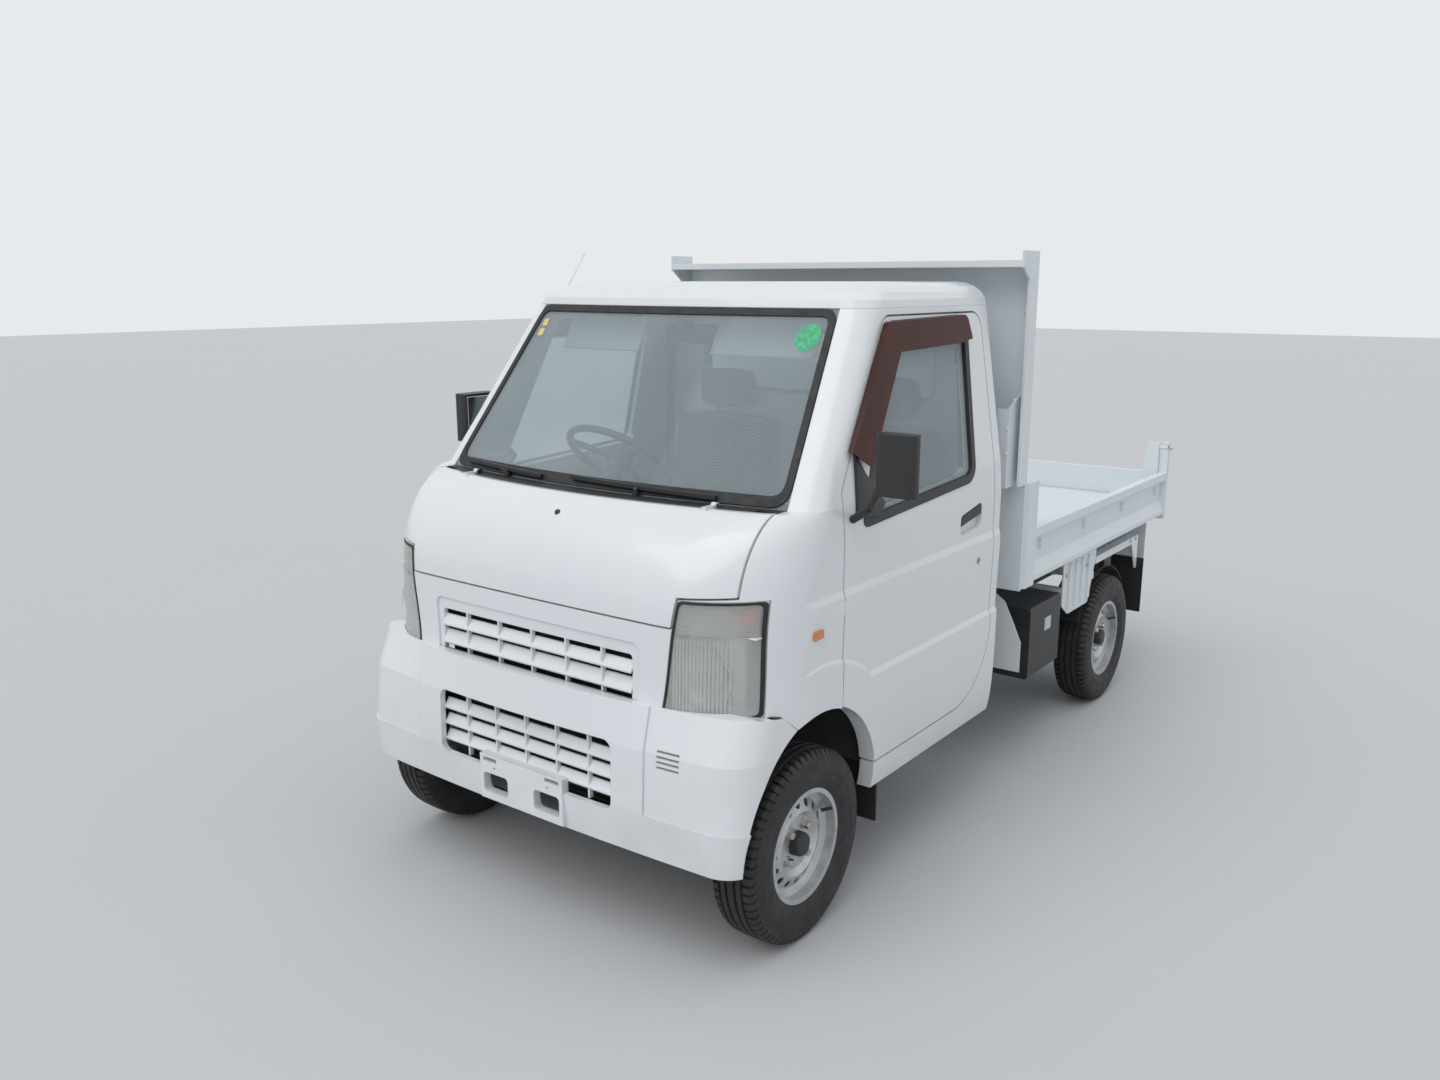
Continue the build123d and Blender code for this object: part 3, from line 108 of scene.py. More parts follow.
def finish(name, colour, roughness, sockets=()):
    """A new material of one shader."""
    material = bpy.data.materials.new(name)
    material.use_nodes = True
    shader = material.node_tree.nodes["Principled BSDF"]
    shader.inputs["Base Color"].default_value = (*colour, 1)
    shader.inputs["Roughness"].default_value = roughness
    for socket, value in dict(sockets).items():
        shader.inputs[socket].default_value = value
    return material


def on_piece(material, stretch=(1, 1, 1)):
    """The piece's own coordinates in metres, stretched."""
    tree = material.node_tree
    source = tree.nodes.new("ShaderNodeTexCoord")
    mapping = tree.nodes.new("ShaderNodeMapping")
    mapping.inputs["Scale"].default_value = stretch
    tree.links.new(source.outputs["Object"], mapping.inputs["Vector"])
    return mapping.outputs[0]


def noise(material, scale, detail=3, stretch=(1, 1, 1)):
    node = material.node_tree.nodes.new("ShaderNodeTexNoise")
    node.inputs["Scale"].default_value = scale
    node.inputs["Detail"].default_value = detail
    material.node_tree.links.new(on_piece(material, stretch), node.inputs["Vector"])
    return node.outputs[0]


def ranged(material, value, low, high, bottom=0.0, top=1.0):
    """Turns a value that runs from low to high into one that runs from bottom to top."""
    node = material.node_tree.nodes.new("ShaderNodeMapRange")
    for socket, number in (("From Min", low), ("From Max", high), ("To Min", bottom), ("To Max", top)):
        node.inputs[socket].default_value = number
    material.node_tree.links.new(value, node.inputs["Value"])
    return node.outputs[0]


def tint(material, amount, colour):
    """Lays another colour over the present one, as much as the amount says."""
    tree = material.node_tree
    socket = tree.nodes["Principled BSDF"].inputs["Base Color"]
    mix = tree.nodes.new("ShaderNodeMix")
    mix.data_type = "RGBA"
    share, present, laid_over = mix.inputs[0], mix.inputs[6], mix.inputs[7]
    if socket.links:
        tree.links.new(socket.links[0].from_socket, present)
    else:
        present.default_value = socket.default_value
    laid_over.default_value = (*colour, 1)
    tree.links.new(amount, share)
    tree.links.new(mix.outputs[2], socket)


def mottle(material, colour, scale, most=1.0, low=0.4, high=0.7, detail=3):
    """Soft patches of another colour, where noise climbs from low to high."""
    tint(material, ranged(material, noise(material, scale, detail), low, high, 0, most), colour)


FLOOR_REACH = 40
floor_mesh = bpy.data.meshes.new("Floor")
floor_mesh.from_pydata([(x, y, 0) for x, y in ((-1, -1), (1, -1), (1, 1), (-1, 1))], [], [(0, 1, 2, 3)])
floor_mesh.transform(Matrix.Scale(FLOOR_REACH, 4))
floor = bpy.data.objects.new("Floor", floor_mesh)
bpy.context.scene.collection.objects.link(floor)
floor_paint = finish("Pale floor", (0.60, 0.61, 0.62), 0.85)
mottle(floor_paint, (0.56, 0.56, 0.58), scale=0.5, most=0.2, low=0.3, high=0.8)
floor_mesh.materials.append(floor_paint)


# Cab shell, doors, lid, bumper and grille: pressed steel and moulded panels in gloss white enamel,
# with orange peel, soft folded edges and a little road dust low down.
def axis_value(material, axis):
    split = material.node_tree.nodes.new("ShaderNodeSeparateXYZ")
    material.node_tree.links.new(on_piece(material), split.inputs[0])
    return split.outputs[axis]


def dusty_below(material, top, amount, colour=(0.42, 0.38, 0.33), ground=0.15):
    """Road dust that thickens towards the ground in soft patches."""
    height = ranged(material, axis_value(material, 2), top, ground)
    patches = ranged(material, noise(material, 6, 5), 0.35, 0.75)
    dust = maths(material, "MULTIPLY", maths(material, "MULTIPLY", height, patches), amount)
    tint(material, dust, colour)


def relief(material, height, depth, edge=0.0):
    """Bump from a height value, over edges rounded by a radius."""
    tree = material.node_tree
    bump = tree.nodes.new("ShaderNodeBump")
    bump.inputs["Distance"].default_value = depth
    tree.links.new(height, bump.inputs["Height"])
    if edge:
        rounding = tree.nodes.new("ShaderNodeBevel")
        rounding.samples = 4
        rounding.inputs["Radius"].default_value = edge
        tree.links.new(rounding.outputs[0], bump.inputs["Normal"])
    tree.links.new(bump.outputs[0], tree.nodes["Principled BSDF"].inputs["Normal"])


def grain(material, scale, depth, edge=0.0, detail=2, stretch=(1, 1, 1)):
    """Fine uneven relief."""
    relief(material, noise(material, scale, detail, stretch), depth, edge)


def dress(slot, material):
    """Gives a finish to every CAD node of a slot."""
    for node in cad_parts.values():
        if node.data.materials[0].name == slot:
            node.material_slots[0].material = material


enamel = finish("White enamel", (0.80, 0.83, 0.85), 0.26, {"Coat Weight": 0.55, "Coat Roughness": 0.06})
mottle(enamel, (0.76, 0.80, 0.83), scale=1.7, most=0.25, low=0.35)
dusty_below(enamel, 0.62, 0.35)
grain(enamel, scale=420, depth=0.00006, edge=0.0035)
dress("body_white", enamel)


# Tipping bed, headboard, tailgate, subframe and guards: welded sheet and sections, repainted in a
# satin white that is laid on thicker and shows more waves than the cab's.
def uneven_gloss(material, scale, low, high):
    shader = material.node_tree.nodes["Principled BSDF"]
    value = ranged(material, noise(material, scale), 0.3, 0.7, low, high)
    material.node_tree.links.new(value, shader.inputs["Roughness"])


bed_paint = finish("White bed paint", (0.77, 0.815, 0.84), 0.38, {"Coat Weight": 0.25, "Coat Roughness": 0.2})
mottle(bed_paint, (0.70, 0.75, 0.78), scale=3.5, most=0.3, high=0.72, detail=4)
uneven_gloss(bed_paint, 9, 0.3, 0.48)
grain(bed_paint, scale=60, depth=0.0004, edge=0.003, detail=4)
dress("bed_white", bed_paint)


# Mirror heads, cowl, handles and box: polypropylene with a moulded grain, a little faded in patches.
# The seals and mounts are plain black rubber.
plastic = finish("Grained black plastic", (0.022, 0.023, 0.025), 0.46)
mottle(plastic, (0.06, 0.06, 0.062), scale=5, most=0.35, low=0.45, high=0.8, detail=4)
grain(plastic, scale=900, depth=0.00025, edge=0.003)
dress("black_plastic", plastic)

rubber = finish("Seal rubber", (0.016, 0.016, 0.017), 0.62)
uneven_gloss(rubber, 30, 0.5, 0.72)
grain(rubber, scale=500, depth=0.00012, edge=0.001, detail=3)
dress("mount_rubber", rubber)


# Ladder frame, axle, tank and springs: steel under black chassis paint, dusty and slightly rough.
# The engine block is a bare casting, and the cylinder's rod is ground and hard chromed.
chassis_paint = finish("Black chassis paint", (0.028, 0.028, 0.030), 0.5)
dusty_below(chassis_paint, 0.7, 0.55, (0.22, 0.19, 0.16))
grain(chassis_paint, scale=160, depth=0.0003, edge=0.002, detail=4)
dress("chassis_black", chassis_paint)

castings = finish("Raw castings", (0.30, 0.30, 0.31), 0.55, {"Metallic": 0.7})
mottle(castings, (0.16, 0.12, 0.09), scale=24, most=0.7, low=0.45, detail=5)
grain(castings, scale=300, depth=0.0005, edge=0.002, detail=4)
dress("engine_metal", castings)

chrome = finish("Hard chrome", (0.78, 0.79, 0.80), 0.08, {"Metallic": 1.0})
grain(chrome, scale=40, depth=0.00004, stretch=(1, 1, 30))
dress("rod_chrome", chrome)


# Tyres: radial truck tyres for a 12 inch wheel. Shoulder blocks are cut by cross grooves, four
# grooves run round the tread, and the plain walls carry a few moulded ridges.
SIDES = (("left", 1), ("right", -1))
AXLE_F, AXLE_R = -1.3175, 1.0325
WHEEL_X, HUB_Z = 0.645, 0.271
BEAD_R = 0.152
TREAD_BLOCKS, GROOVE_DEPTH, GROOVE_LEAN = 66, 0.0065, 0.35
TYRE_SECTION = (
    # distance from the tyre's middle plane, radius, cut by the cross grooves
    (0.0090, 0.2710, False), (0.0115, 0.2640, False), (0.0155, 0.2640, False), (0.0180, 0.2709, False),
    (0.0310, 0.2703, False), (0.0335, 0.2635, False), (0.0375, 0.2635, False), (0.0400, 0.2698, True),
    (0.0520, 0.2688, True), (0.0588, 0.2658, True), (0.0645, 0.2575, True), (0.0672, 0.2505, False),
    (0.0705, 0.236, False), (0.0722, 0.222, False), (0.0725, 0.208, False), (0.0715, 0.2055, False),
    (0.0722, 0.203, False), (0.0705, 0.190, False), (0.0665, 0.176, False), (0.0648, 0.1735, False),
    (0.0632, 0.168, False), (0.0590, 0.160, False), (0.0575, BEAD_R, False),
)
BLOCK_EDGES = (
    # share of a block's pitch, down in the cross groove
    (0.0, False), (0.66, False), (0.72, True), (0.94, True),
)


def skin(shape, rows, ring=False):
    """Walls between like loops of corners: the end loops are capped, or joined into a ring."""
    following = rows[1:] + rows[:1] if ring else rows[1:]
    for here, after in zip(rows, following):
        for number in range(len(here)):
            other = (number + 1) % len(here)
            shape.faces.new((here[number], here[other], after[other], after[number]))
    if not ring:
        shape.faces.new(rows[0])
        shape.faces.new(rows[-1][::-1])


def smooth(mesh, angle=35):
    for face in mesh.polygons:
        face.use_smooth = True
    mesh.set_sharp_from_angle(angle=radians(angle))
    return mesh


def closed_mesh(name, shape):
    """Ends a bmesh: doubles merged, faces turned outwards, then made a mesh."""
    bmesh.ops.remove_doubles(shape, verts=shape.verts, dist=1e-6)
    bmesh.ops.recalc_face_normals(shape, faces=shape.faces)
    mesh = bpy.data.meshes.new(name)
    shape.to_mesh(mesh)
    shape.free()
    return smooth(mesh)


def piece(name, mesh, material, body, slot, *stands_for):
    """Adds a finished mesh that moves with a body."""
    made = bpy.data.objects.new(name, mesh)
    bpy.context.scene.collection.objects.link(made)
    mesh.materials.clear()
    mesh.materials.append(material)
    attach(made, body)
    if stands_for:
        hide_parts(*stands_for)
    return made


def tyre_shape(hub):
    section = [(-across, radius, cut) for across, radius, cut in reversed(TYRE_SECTION)]
    section += TYRE_SECTION
    shape = bmesh.new()
    columns = []
    pitch = 2 * pi / TREAD_BLOCKS
    for block in range(TREAD_BLOCKS):
        for share, sunk in BLOCK_EDGES:
            column = []
            for across, radius, cut in section:
                lean = GROOVE_LEAN * pitch if cut and across > 0 else 0
                angle = (block + share) * pitch + lean
                reach = radius - (GROOVE_DEPTH if cut and sunk else 0)
                corner = hub + Vector((across, reach * cos(angle), reach * sin(angle)))
                column.append(shape.verts.new(corner))
            columns.append(column)
    skin(shape, columns, ring=True)
    return shape


tyre_rubber = finish("Tyre rubber", (0.018, 0.018, 0.019), 0.58)
mottle(tyre_rubber, (0.055, 0.05, 0.046), scale=18, most=0.5, low=0.45, high=0.8, detail=5)
uneven_gloss(tyre_rubber, 40, 0.48, 0.72)
grain(tyre_rubber, scale=700, depth=0.00018, detail=3)
WHEELS = [(f"{end}_{side}", sign, axle) for end, axle in (("front", AXLE_F), ("rear", AXLE_R))
          for side, sign in SIDES]
for wheel, sign, axle in WHEELS:
    shape = tyre_shape(Vector((sign * WHEEL_X, axle, HUB_Z)))
    piece(f"tyre_{wheel}", closed_mesh("Tyre", shape), tyre_rubber, f"wheel_{wheel}", "tyre",
          f"wheel_tyre_{wheel}")


# Wheels: pressed steel discs in silver with sixteen vents, held by four plated nuts round a black
# cap, with a rubber valve at the rim.
silver = finish("Silver wheel paint", (0.56, 0.57, 0.58), 0.34, {"Metallic": 0.55})
mottle(silver, (0.28, 0.25, 0.22), scale=20, most=0.55, low=0.5, high=0.8, detail=5)
grain(silver, scale=260, depth=0.0002, edge=0.002, detail=3)
dress("rim_silver", silver)
zinc = finish("Plated steel", (0.55, 0.55, 0.54), 0.3, {"Metallic": 0.9})
mottle(zinc, (0.33, 0.29, 0.24), scale=60, most=0.6, low=0.45, detail=4)
grain(zinc, scale=500, depth=0.0002, edge=0.0008, detail=3)


def repeat_tree():
    """Geometry Nodes: sets one shape of a given size on every point, turned as the point says."""
    tree = bpy.data.node_groups.new("Set on points", "GeometryNodeTree")
    face = tree.interface
    face.new_socket("Geometry", in_out="INPUT", socket_type="NodeSocketGeometry")
    face.new_socket("Shape", in_out="INPUT", socket_type="NodeSocketObject")
    face.new_socket("Size", in_out="INPUT", socket_type="NodeSocketFloat").default_value = 1
    face.new_socket("Finish", in_out="INPUT", socket_type="NodeSocketMaterial")
    face.new_socket("Geometry", in_out="OUTPUT", socket_type="NodeSocketGeometry")
    start, end = tree.nodes.new("NodeGroupInput"), tree.nodes.new("NodeGroupOutput")
    shape = tree.nodes.new("GeometryNodeObjectInfo")
    turn = tree.nodes.new("GeometryNodeInputNamedAttribute")
    turn.data_type = "FLOAT_VECTOR"
    turn.inputs["Name"].default_value = "turn"
    setting = tree.nodes.new("GeometryNodeInstanceOnPoints")
    real = tree.nodes.new("GeometryNodeRealizeInstances")
    coat = tree.nodes.new("GeometryNodeSetMaterial")
    link = tree.links.new
    link(start.outputs["Geometry"], setting.inputs["Points"])
    link(start.outputs["Shape"], shape.inputs["Object"])
    link(shape.outputs["Geometry"], setting.inputs["Instance"])
    link(turn.outputs["Attribute"], setting.inputs["Rotation"])
    link(start.outputs["Size"], setting.inputs["Scale"])
    link(setting.outputs["Instances"], real.inputs["Geometry"])
    link(real.outputs["Geometry"], coat.inputs["Geometry"])
    link(start.outputs["Finish"], coat.inputs["Material"])
    link(coat.outputs["Geometry"], end.inputs["Geometry"])
    return tree


SET_ON_POINTS = repeat_tree()
UP = (0, 0, 1)


def repeated(name, shape, places, material, body, slot, size=1.0):
    """One shape set at every (place, direction of its top), as one plain mesh on a body."""
    holder = bpy.data.objects.new("shape", closed_mesh("shape", shape))
    points = bpy.data.meshes.new("points")
    points.from_pydata([place for place, top in places], [], [])
    turns = points.attributes.new("turn", "FLOAT_VECTOR", "POINT")
    for number, (place, top) in enumerate(places):
        turns.data[number].vector = Vector(top).to_track_quat("Z", "Y").to_euler()
    carrier = bpy.data.objects.new("carrier", points)
    for made in (holder, carrier):
        bpy.context.scene.collection.objects.link(made)
    modifier = carrier.modifiers.new("Set", "NODES")
    modifier.node_group = SET_ON_POINTS
    names = {item.name: item.identifier for item in SET_ON_POINTS.interface.items_tree
             if item.in_out == "INPUT"}
    modifier[names["Shape"]] = holder
    modifier[names["Size"]] = size
    modifier[names["Finish"]] = material
    bpy.context.view_layer.update()
    graph = bpy.context.evaluated_depsgraph_get()
    mesh = bpy.data.meshes.new_from_object(carrier.evaluated_get(graph))
    carrier.modifiers.remove(modifier)
    for made in (holder, carrier):
        bpy.data.objects.remove(made)
    return piece(name, smooth(mesh), material, body, slot)


def lathe(profile, steps, centre=(0, 0, 0), axis=UP):
    """A closed section of (along, radius) points turned round an axis through the centre."""
    shape = bmesh.new()
    frame_of = Vector(axis).to_track_quat("Z", "Y").to_matrix().to_4x4()
    frame_of.translation = Vector(centre)
    rings = []
    for step in range(steps):
        angle = 2 * pi * step / steps
        rings.append([shape.verts.new(frame_of @ Vector((radius * cos(angle), radius * sin(angle), along)))
                      for along, radius in profile])
    for here, after in zip(rings, rings[1:] + rings[:1]):
        for number in range(len(profile)):
            other = (number + 1) % len(profile)
            on_axis = [profile[number][1] == 0, profile[other][1] == 0]
            if on_axis == [True, True]:
                continue
            corners = [here[number], here[other]]
            if not on_axis[1]:
                corners.append(after[other])
            if not on_axis[0]:
                corners.append(after[number])
            shape.faces.new(corners)
    return shape


def joined(*shapes):
    """Puts several bmeshes into the first."""
    first = shapes[0]
    for other in shapes[1:]:
        spare = bpy.data.meshes.new("spare")
        other.to_mesh(spare)
        other.free()
        first.from_mesh(spare)
        bpy.data.meshes.remove(spare)
    return first


def hex_head(radius, height, washer=1.35):
    """A hexagon head on its washer, standing on the plane z = 0."""
    head = lathe([(0, 0), (0, radius), (height * 0.85, radius), (height, radius * 0.86), (height, 0)], 6)
    ring = lathe([(-0.0005, 0), (-0.0005, radius * washer), (height * 0.2, radius * washer),
                  (height * 0.25, 0)], 20)
    return joined(head, ring)


NUT_CIRCLE, NUT_COUNT, NUT_R, NUT_H = 0.0570, 4, 0.0115, 0.019
DISC_FACE = 0.024
VALVE_PLACE, VALVE_LEAN = Vector((0.030, 0.118, 0.052)), Vector((0.8, 0.5, 0.2))
# along the axis from the disc's face or the rim, radius
CAP_PROFILE = [(0, 0), (0, 0.0345), (0.021, 0.0335), (0.0265, 0.030), (0.0285, 0.014), (0.0275, 0)]
VALVE_PROFILE = [(0, 0), (0, 0.0055), (0.018, 0.0045), (0.030, 0.0045), (0.032, 0)]
for wheel, sign, axle in WHEELS:
    body = f"wheel_{wheel}"
    outwards = (sign, 0, 0)
    disc = Vector((sign * (WHEEL_X + DISC_FACE), axle, HUB_Z))
    nuts = []
    for number in range(NUT_COUNT):
        angle = pi / 4 + 2 * pi * number / NUT_COUNT
        nuts.append((disc + Vector((0, NUT_CIRCLE * cos(angle), NUT_CIRCLE * sin(angle))), outwards))
    repeated(f"wheel_nuts_{wheel}", hex_head(NUT_R, NUT_H), nuts, zinc, body, "rim_silver")
    cap = lathe(CAP_PROFILE, 40, disc, outwards)
    piece(f"hub_cap_{wheel}", closed_mesh("Hub cap", cap), plastic, body, "black_plastic")
    mirrored = Vector((sign, 1, 1))
    valve_foot = Vector((sign * WHEEL_X, axle, HUB_Z)) + VALVE_PLACE * mirrored
    valve = lathe(VALVE_PROFILE, 12, valve_foot, VALVE_LEAN * mirrored)
    piece(f"tyre_valve_{wheel}", closed_mesh("Valve", valve), rubber, body, "black_plastic")


# Windscreen, side panes and rear window: flat and bowed safety glass, faintly green, with a thin
# film of dust that dulls its reflections here and there. Rubber seals hold the front and rear panes.
HALF = 0.7375
SCREEN_LOW_Z, SCREEN_TOP_Z = 1.190, 1.690
SCREEN_HALF_LOW, SCREEN_HALF_TOP = 0.640, 0.566
SCREEN_FOOT_Y, SCREEN_RUN = -0.088, 0.378
BOW_LOW, BOW_LESS_AT_TOP = 0.088, 0.024
DOOR_LOW_Z, DOOR_TUCK, DOOR_SLOPE = 1.10, 0.007, 0.078
TUCK_LOW, TUCK_MORE_AT_TOP = 0.014, 0.078
REAR_PANE_Y = 1.110
REAR_SEAL_HALF, REAR_SEAL_LOW, REAR_SEAL_TOP, REAR_SEAL_W = 0.494, 1.351, 1.609, 0.028


def see_through(name, colour, roughness, clear, tint_colour):
    """A thin pane: mostly lets light pass straight, and mirrors more at a flat angle."""
    material = finish(name, colour, roughness, {"IOR": 1.45})
    tree = material.node_tree
    passing = tree.nodes.new("ShaderNodeBsdfTransparent")
    passing.inputs["Color"].default_value = (*tint_colour, 1)
    facing = tree.nodes.new("ShaderNodeLayerWeight")
    facing.inputs["Blend"].default_value = 0.35
    amount = ranged(material, facing.outputs["Facing"], 0, 1, 1 - clear, min(1, 1.25 - clear))
    mix = tree.nodes.new("ShaderNodeMixShader")
    tree.links.new(amount, mix.inputs["Fac"])
    tree.links.new(passing.outputs[0], mix.inputs[1])
    tree.links.new(tree.nodes["Principled BSDF"].outputs[0], mix.inputs[2])
    tree.links.new(mix.outputs[0], tree.nodes["Material Output"].inputs["Surface"])
    return material


glass = see_through("Safety glass", (0.56, 0.63, 0.67), 0.03, 0.80, (0.92, 0.96, 0.96))
mottle(glass, (0.68, 0.73, 0.77), scale=3, high=0.8)
dress("glass", glass)


def cab_half(z):
    """The cab's half width at a height: its sides lean in more from the windscreen's foot up."""
    if z > SCREEN_LOW_Z:
        share = (z - SCREEN_LOW_Z) / (SCREEN_TOP_Z - SCREEN_LOW_Z)
        return HALF - (TUCK_LOW + TUCK_MORE_AT_TOP * share)
    return HALF - (DOOR_TUCK + DOOR_SLOPE * (z - DOOR_LOW_Z))


def screen_point(x, z, out=0.0):
    """A point on the windscreen's outer face, or ahead of it."""
    rise = SCREEN_TOP_Z - SCREEN_LOW_Z
    share = (z - SCREEN_LOW_Z) / rise
    bow = BOW_LOW - BOW_LESS_AT_TOP * share
    back = SCREEN_FOOT_Y + SCREEN_RUN * share + bow * (x / cab_half(z)) ** 2
    outwards = Vector((0, -rise, SCREEN_RUN)).normalized()
    return Vector((x, AXLE_F + back, z)) + outwards * out


def rear_point(x, z, out=0.0):
    return Vector((x, AXLE_F + REAR_PANE_Y + out, z))


def band(name, outer, inner, out, depth, place):
    """A flat strip between two closed loops of (x, z), lying on the surface that place gives."""
    shape = bmesh.new()
    rows = []
    for loop, reach in ((outer, out), (inner, out), (inner, out - depth), (outer, out - depth)):
        rows.append([shape.verts.new(place(x, z, reach)) for x, z in loop])
    skin(shape, rows, ring=True)
    return closed_mesh(name, shape)


def rounded_loop(corners, radius, steps=6, run=10):
    """A closed loop of (x, z) points round the corners, with points along its runs."""
    points = []
    count = len(corners)
    for number in range(count):
        before, here, after = (Vector(corners[(number + k) % count]) for k in (-1, 0, 1))
        back, ahead = (before - here).normalized(), (after - here).normalized()
        half_angle = back.angle(ahead) / 2
        reach = radius / max(0.2, sin(half_angle) / cos(half_angle))
        start, end = here + back * reach, here + ahead * reach
        for step in range(steps + 1):
            share = step / steps
            bend = start.lerp(here, share).lerp(here.lerp(end, share), share)
            points.append(tuple(bend))
        onward = after + (here - after).normalized() * reach
        for step in range(1, run):
            points.append(tuple(end.lerp(onward, step / run)))
    return points


def screen_corners(gap_side, gap_top, gap_low):
    """The windscreen opening's corners, moved inwards."""
    slope = (SCREEN_HALF_LOW - SCREEN_HALF_TOP) / (SCREEN_TOP_Z - SCREEN_LOW_Z)
    low, top = SCREEN_LOW_Z + gap_low, SCREEN_TOP_Z - gap_top
    half_low = SCREEN_HALF_LOW - slope * gap_low - gap_side
    half_top = SCREEN_HALF_TOP + slope * gap_top - gap_side
    return [(-half_low, low), (half_low, low), (half_top, top), (-half_top, top)]


def rear_corners(inset):
    half, low, top = REAR_SEAL_HALF - inset, REAR_SEAL_LOW + inset, REAR_SEAL_TOP - inset
    return [(-half, low), (half, low), (half, top), (-half, top)]


outer_loop = rounded_loop(screen_corners(0.002, 0.002, 0.004), 0.045)
inner_loop = rounded_loop(screen_corners(0.022, 0.022, 0.030), 0.030)
piece("windscreen_seal", band("Screen seal", outer_loop, inner_loop, 0.003, 0.006, screen_point), rubber,
      "chassis", "mount_rubber")
outer_loop = rounded_loop(rear_corners(0), 0.05)
inner_loop = rounded_loop(rear_corners(REAR_SEAL_W), 0.03)
piece("rear_window_seal", band("Rear seal", outer_loop, inner_loop, 0.004, 0.004, rear_point), rubber,
      "chassis", "mount_rubber")


# Rain visors over the door windows: brown smoked acrylic, bent from sheet and let into the window's
# channel.
smoke = see_through("Smoked visor", (0.10, 0.028, 0.018), 0.08, 0.55, (0.40, 0.13, 0.08))
mottle(smoke, (0.16, 0.05, 0.03), scale=5, most=0.5, high=0.8)
dress("smoked_visor", smoke)


# Films stuck inside the windscreen: a plain green disc in one upper corner and two small yellow
# squares in the other.
DISC_X, DISC_Z, DISC_R, DISC_CORNERS = 0.505, 1.614, 0.036, 40
SQUARE_X, SQUARE_W, SQUARE_H, SQUARE_TOPS = -0.535, 0.025, 0.022, (1.645, 1.615)
FILM_OUTER, FILM_INNER = -0.0015, -0.0019
green = finish("Green film", (0.03, 0.42, 0.19), 0.4)
mottle(green, (0.16, 0.58, 0.33), scale=90, most=0.5, low=0.45, high=0.6, detail=2)
grain(green, scale=200, depth=0.0001)
yellow = finish("Yellow film", (0.72, 0.62, 0.16), 0.45)
mottle(yellow, (0.80, 0.74, 0.38), scale=70, most=0.5, high=0.6, detail=2)
grain(yellow, scale=200, depth=0.0001)


def film(name, loop, material):
    shape = bmesh.new()
    skin(shape, [[shape.verts.new(screen_point(x, z, out)) for x, z in loop]
                 for out in (FILM_OUTER, FILM_INNER)])
    piece(name, closed_mesh(name, shape), material, "chassis", "black_plastic")


round_film = []
for number in range(DISC_CORNERS):
    angle = 2 * pi * number / DISC_CORNERS
    round_film.append((DISC_X + DISC_R * cos(angle), DISC_Z + DISC_R * sin(angle)))
film("green_disc", round_film, green)
for number, top in enumerate(SQUARE_TOPS):
    corners = [(SQUARE_X, top - SQUARE_H), (SQUARE_X + SQUARE_W, top - SQUARE_H),
               (SQUARE_X + SQUARE_W, top), (SQUARE_X, top)]
    film(f"yellow_square_{number}", rounded_loop(corners, 0.003, steps=3, run=3), yellow)


# Headlamps: a silvered bowl behind a moulded lens, with upright flutes over the main beam, fine
# level lines over the turn signal above its shelf, and a soft dark grey lip round the lens.
LAMP_LOW, LAMP_TOP, LAMP_SHELF = 0.694, 0.995, 0.903
LAMP_INNER_LOW, LAMP_INNER_SLOPE, LAMP_OUTER = 0.466, 0.133, 0.692
bowl = finish("Silvered bowl", (0.86, 0.87, 0.88), 0.22, {"Metallic": 0.45})
mottle(bowl, (0.70, 0.70, 0.70), scale=14, most=0.4)
grain(bowl, scale=30, depth=0.0004, edge=0.002)
dress("lamp_bowl", bowl)


def waves(material, axis, pitch):
    """A value that rises and falls once in each pitch along an axis."""
    return maths(material, "SINE", maths(material, "MULTIPLY", axis_value(material, axis), 2 * pi / pitch))


FLUTE_PITCH, LINE_PITCH, SHELF_BLUR = 0.0105, 0.0055, 0.0005
CLEAR_STRIP_X, STRIP_BLUR = 0.633, 0.001
lens = see_through("Moulded lens", (0.80, 0.81, 0.80), 0.06, 0.80, (0.98, 0.98, 0.97))
height, outboard = axis_value(lens, 2), maths(lens, "ABSOLUTE", axis_value(lens, 0))
above_shelf = ranged(lens, height, LAMP_SHELF - SHELF_BLUR, LAMP_SHELF + SHELF_BLUR)
below_shelf = ranged(lens, height, LAMP_SHELF - SHELF_BLUR, LAMP_SHELF + SHELF_BLUR, 1, 0)
inside_strip = ranged(lens, outboard, CLEAR_STRIP_X - STRIP_BLUR, CLEAR_STRIP_X + STRIP_BLUR, 1, 0)
main_flutes = maths(lens, "MULTIPLY", waves(lens, 0, FLUTE_PITCH), below_shelf)
main_flutes = maths(lens, "MULTIPLY", main_flutes, inside_strip)
turn_lines = maths(lens, "MULTIPLY", waves(lens, 2, LINE_PITCH), above_shelf)
relief(lens, maths(lens, "ADD", main_flutes, turn_lines), 0.0012)
dress("lamp_lens", lens)


def rounded(shape, edge, segments=3):
    bmesh.ops.bevel(shape, geom=shape.edges[:], offset=edge, segments=segments, affect="EDGES", profile=0.5)


def round_block(corner, opposite, edge, segments=3):
    """A block between two opposite corners with all its edges rounded."""
    shape = bmesh.new()
    bmesh.ops.create_cube(shape, size=1)
    size = [abs(a - b) for a, b in zip(corner, opposite)]
    middle = (Vector(corner) + Vector(opposite)) / 2
    for vertex in shape.verts:
        vertex.co = Vector(vertex.co[i] * size[i] for i in range(3)) + middle
    if edge:
        rounded(shape, edge, segments)
    return shape


BOWL_X, BOWL_Z, BOWL_R, BOWL_DEPTH, BOWL_WALL = 0.556, 0.792, 0.082, 0.052, 0.002
BOWL_Y, SHELF_FRONT_Y, SHELF_BACK_Y = AXLE_F - 0.205, AXLE_F - 0.215, AXLE_F - 0.100
SHELF_INNER_X, SHELF_OUTER_X, SHELF_HALF = 0.500, 0.684, 0.002
TURN_X, TURN_Y, TURN_Z = 0.640, AXLE_F - 0.165, 0.948
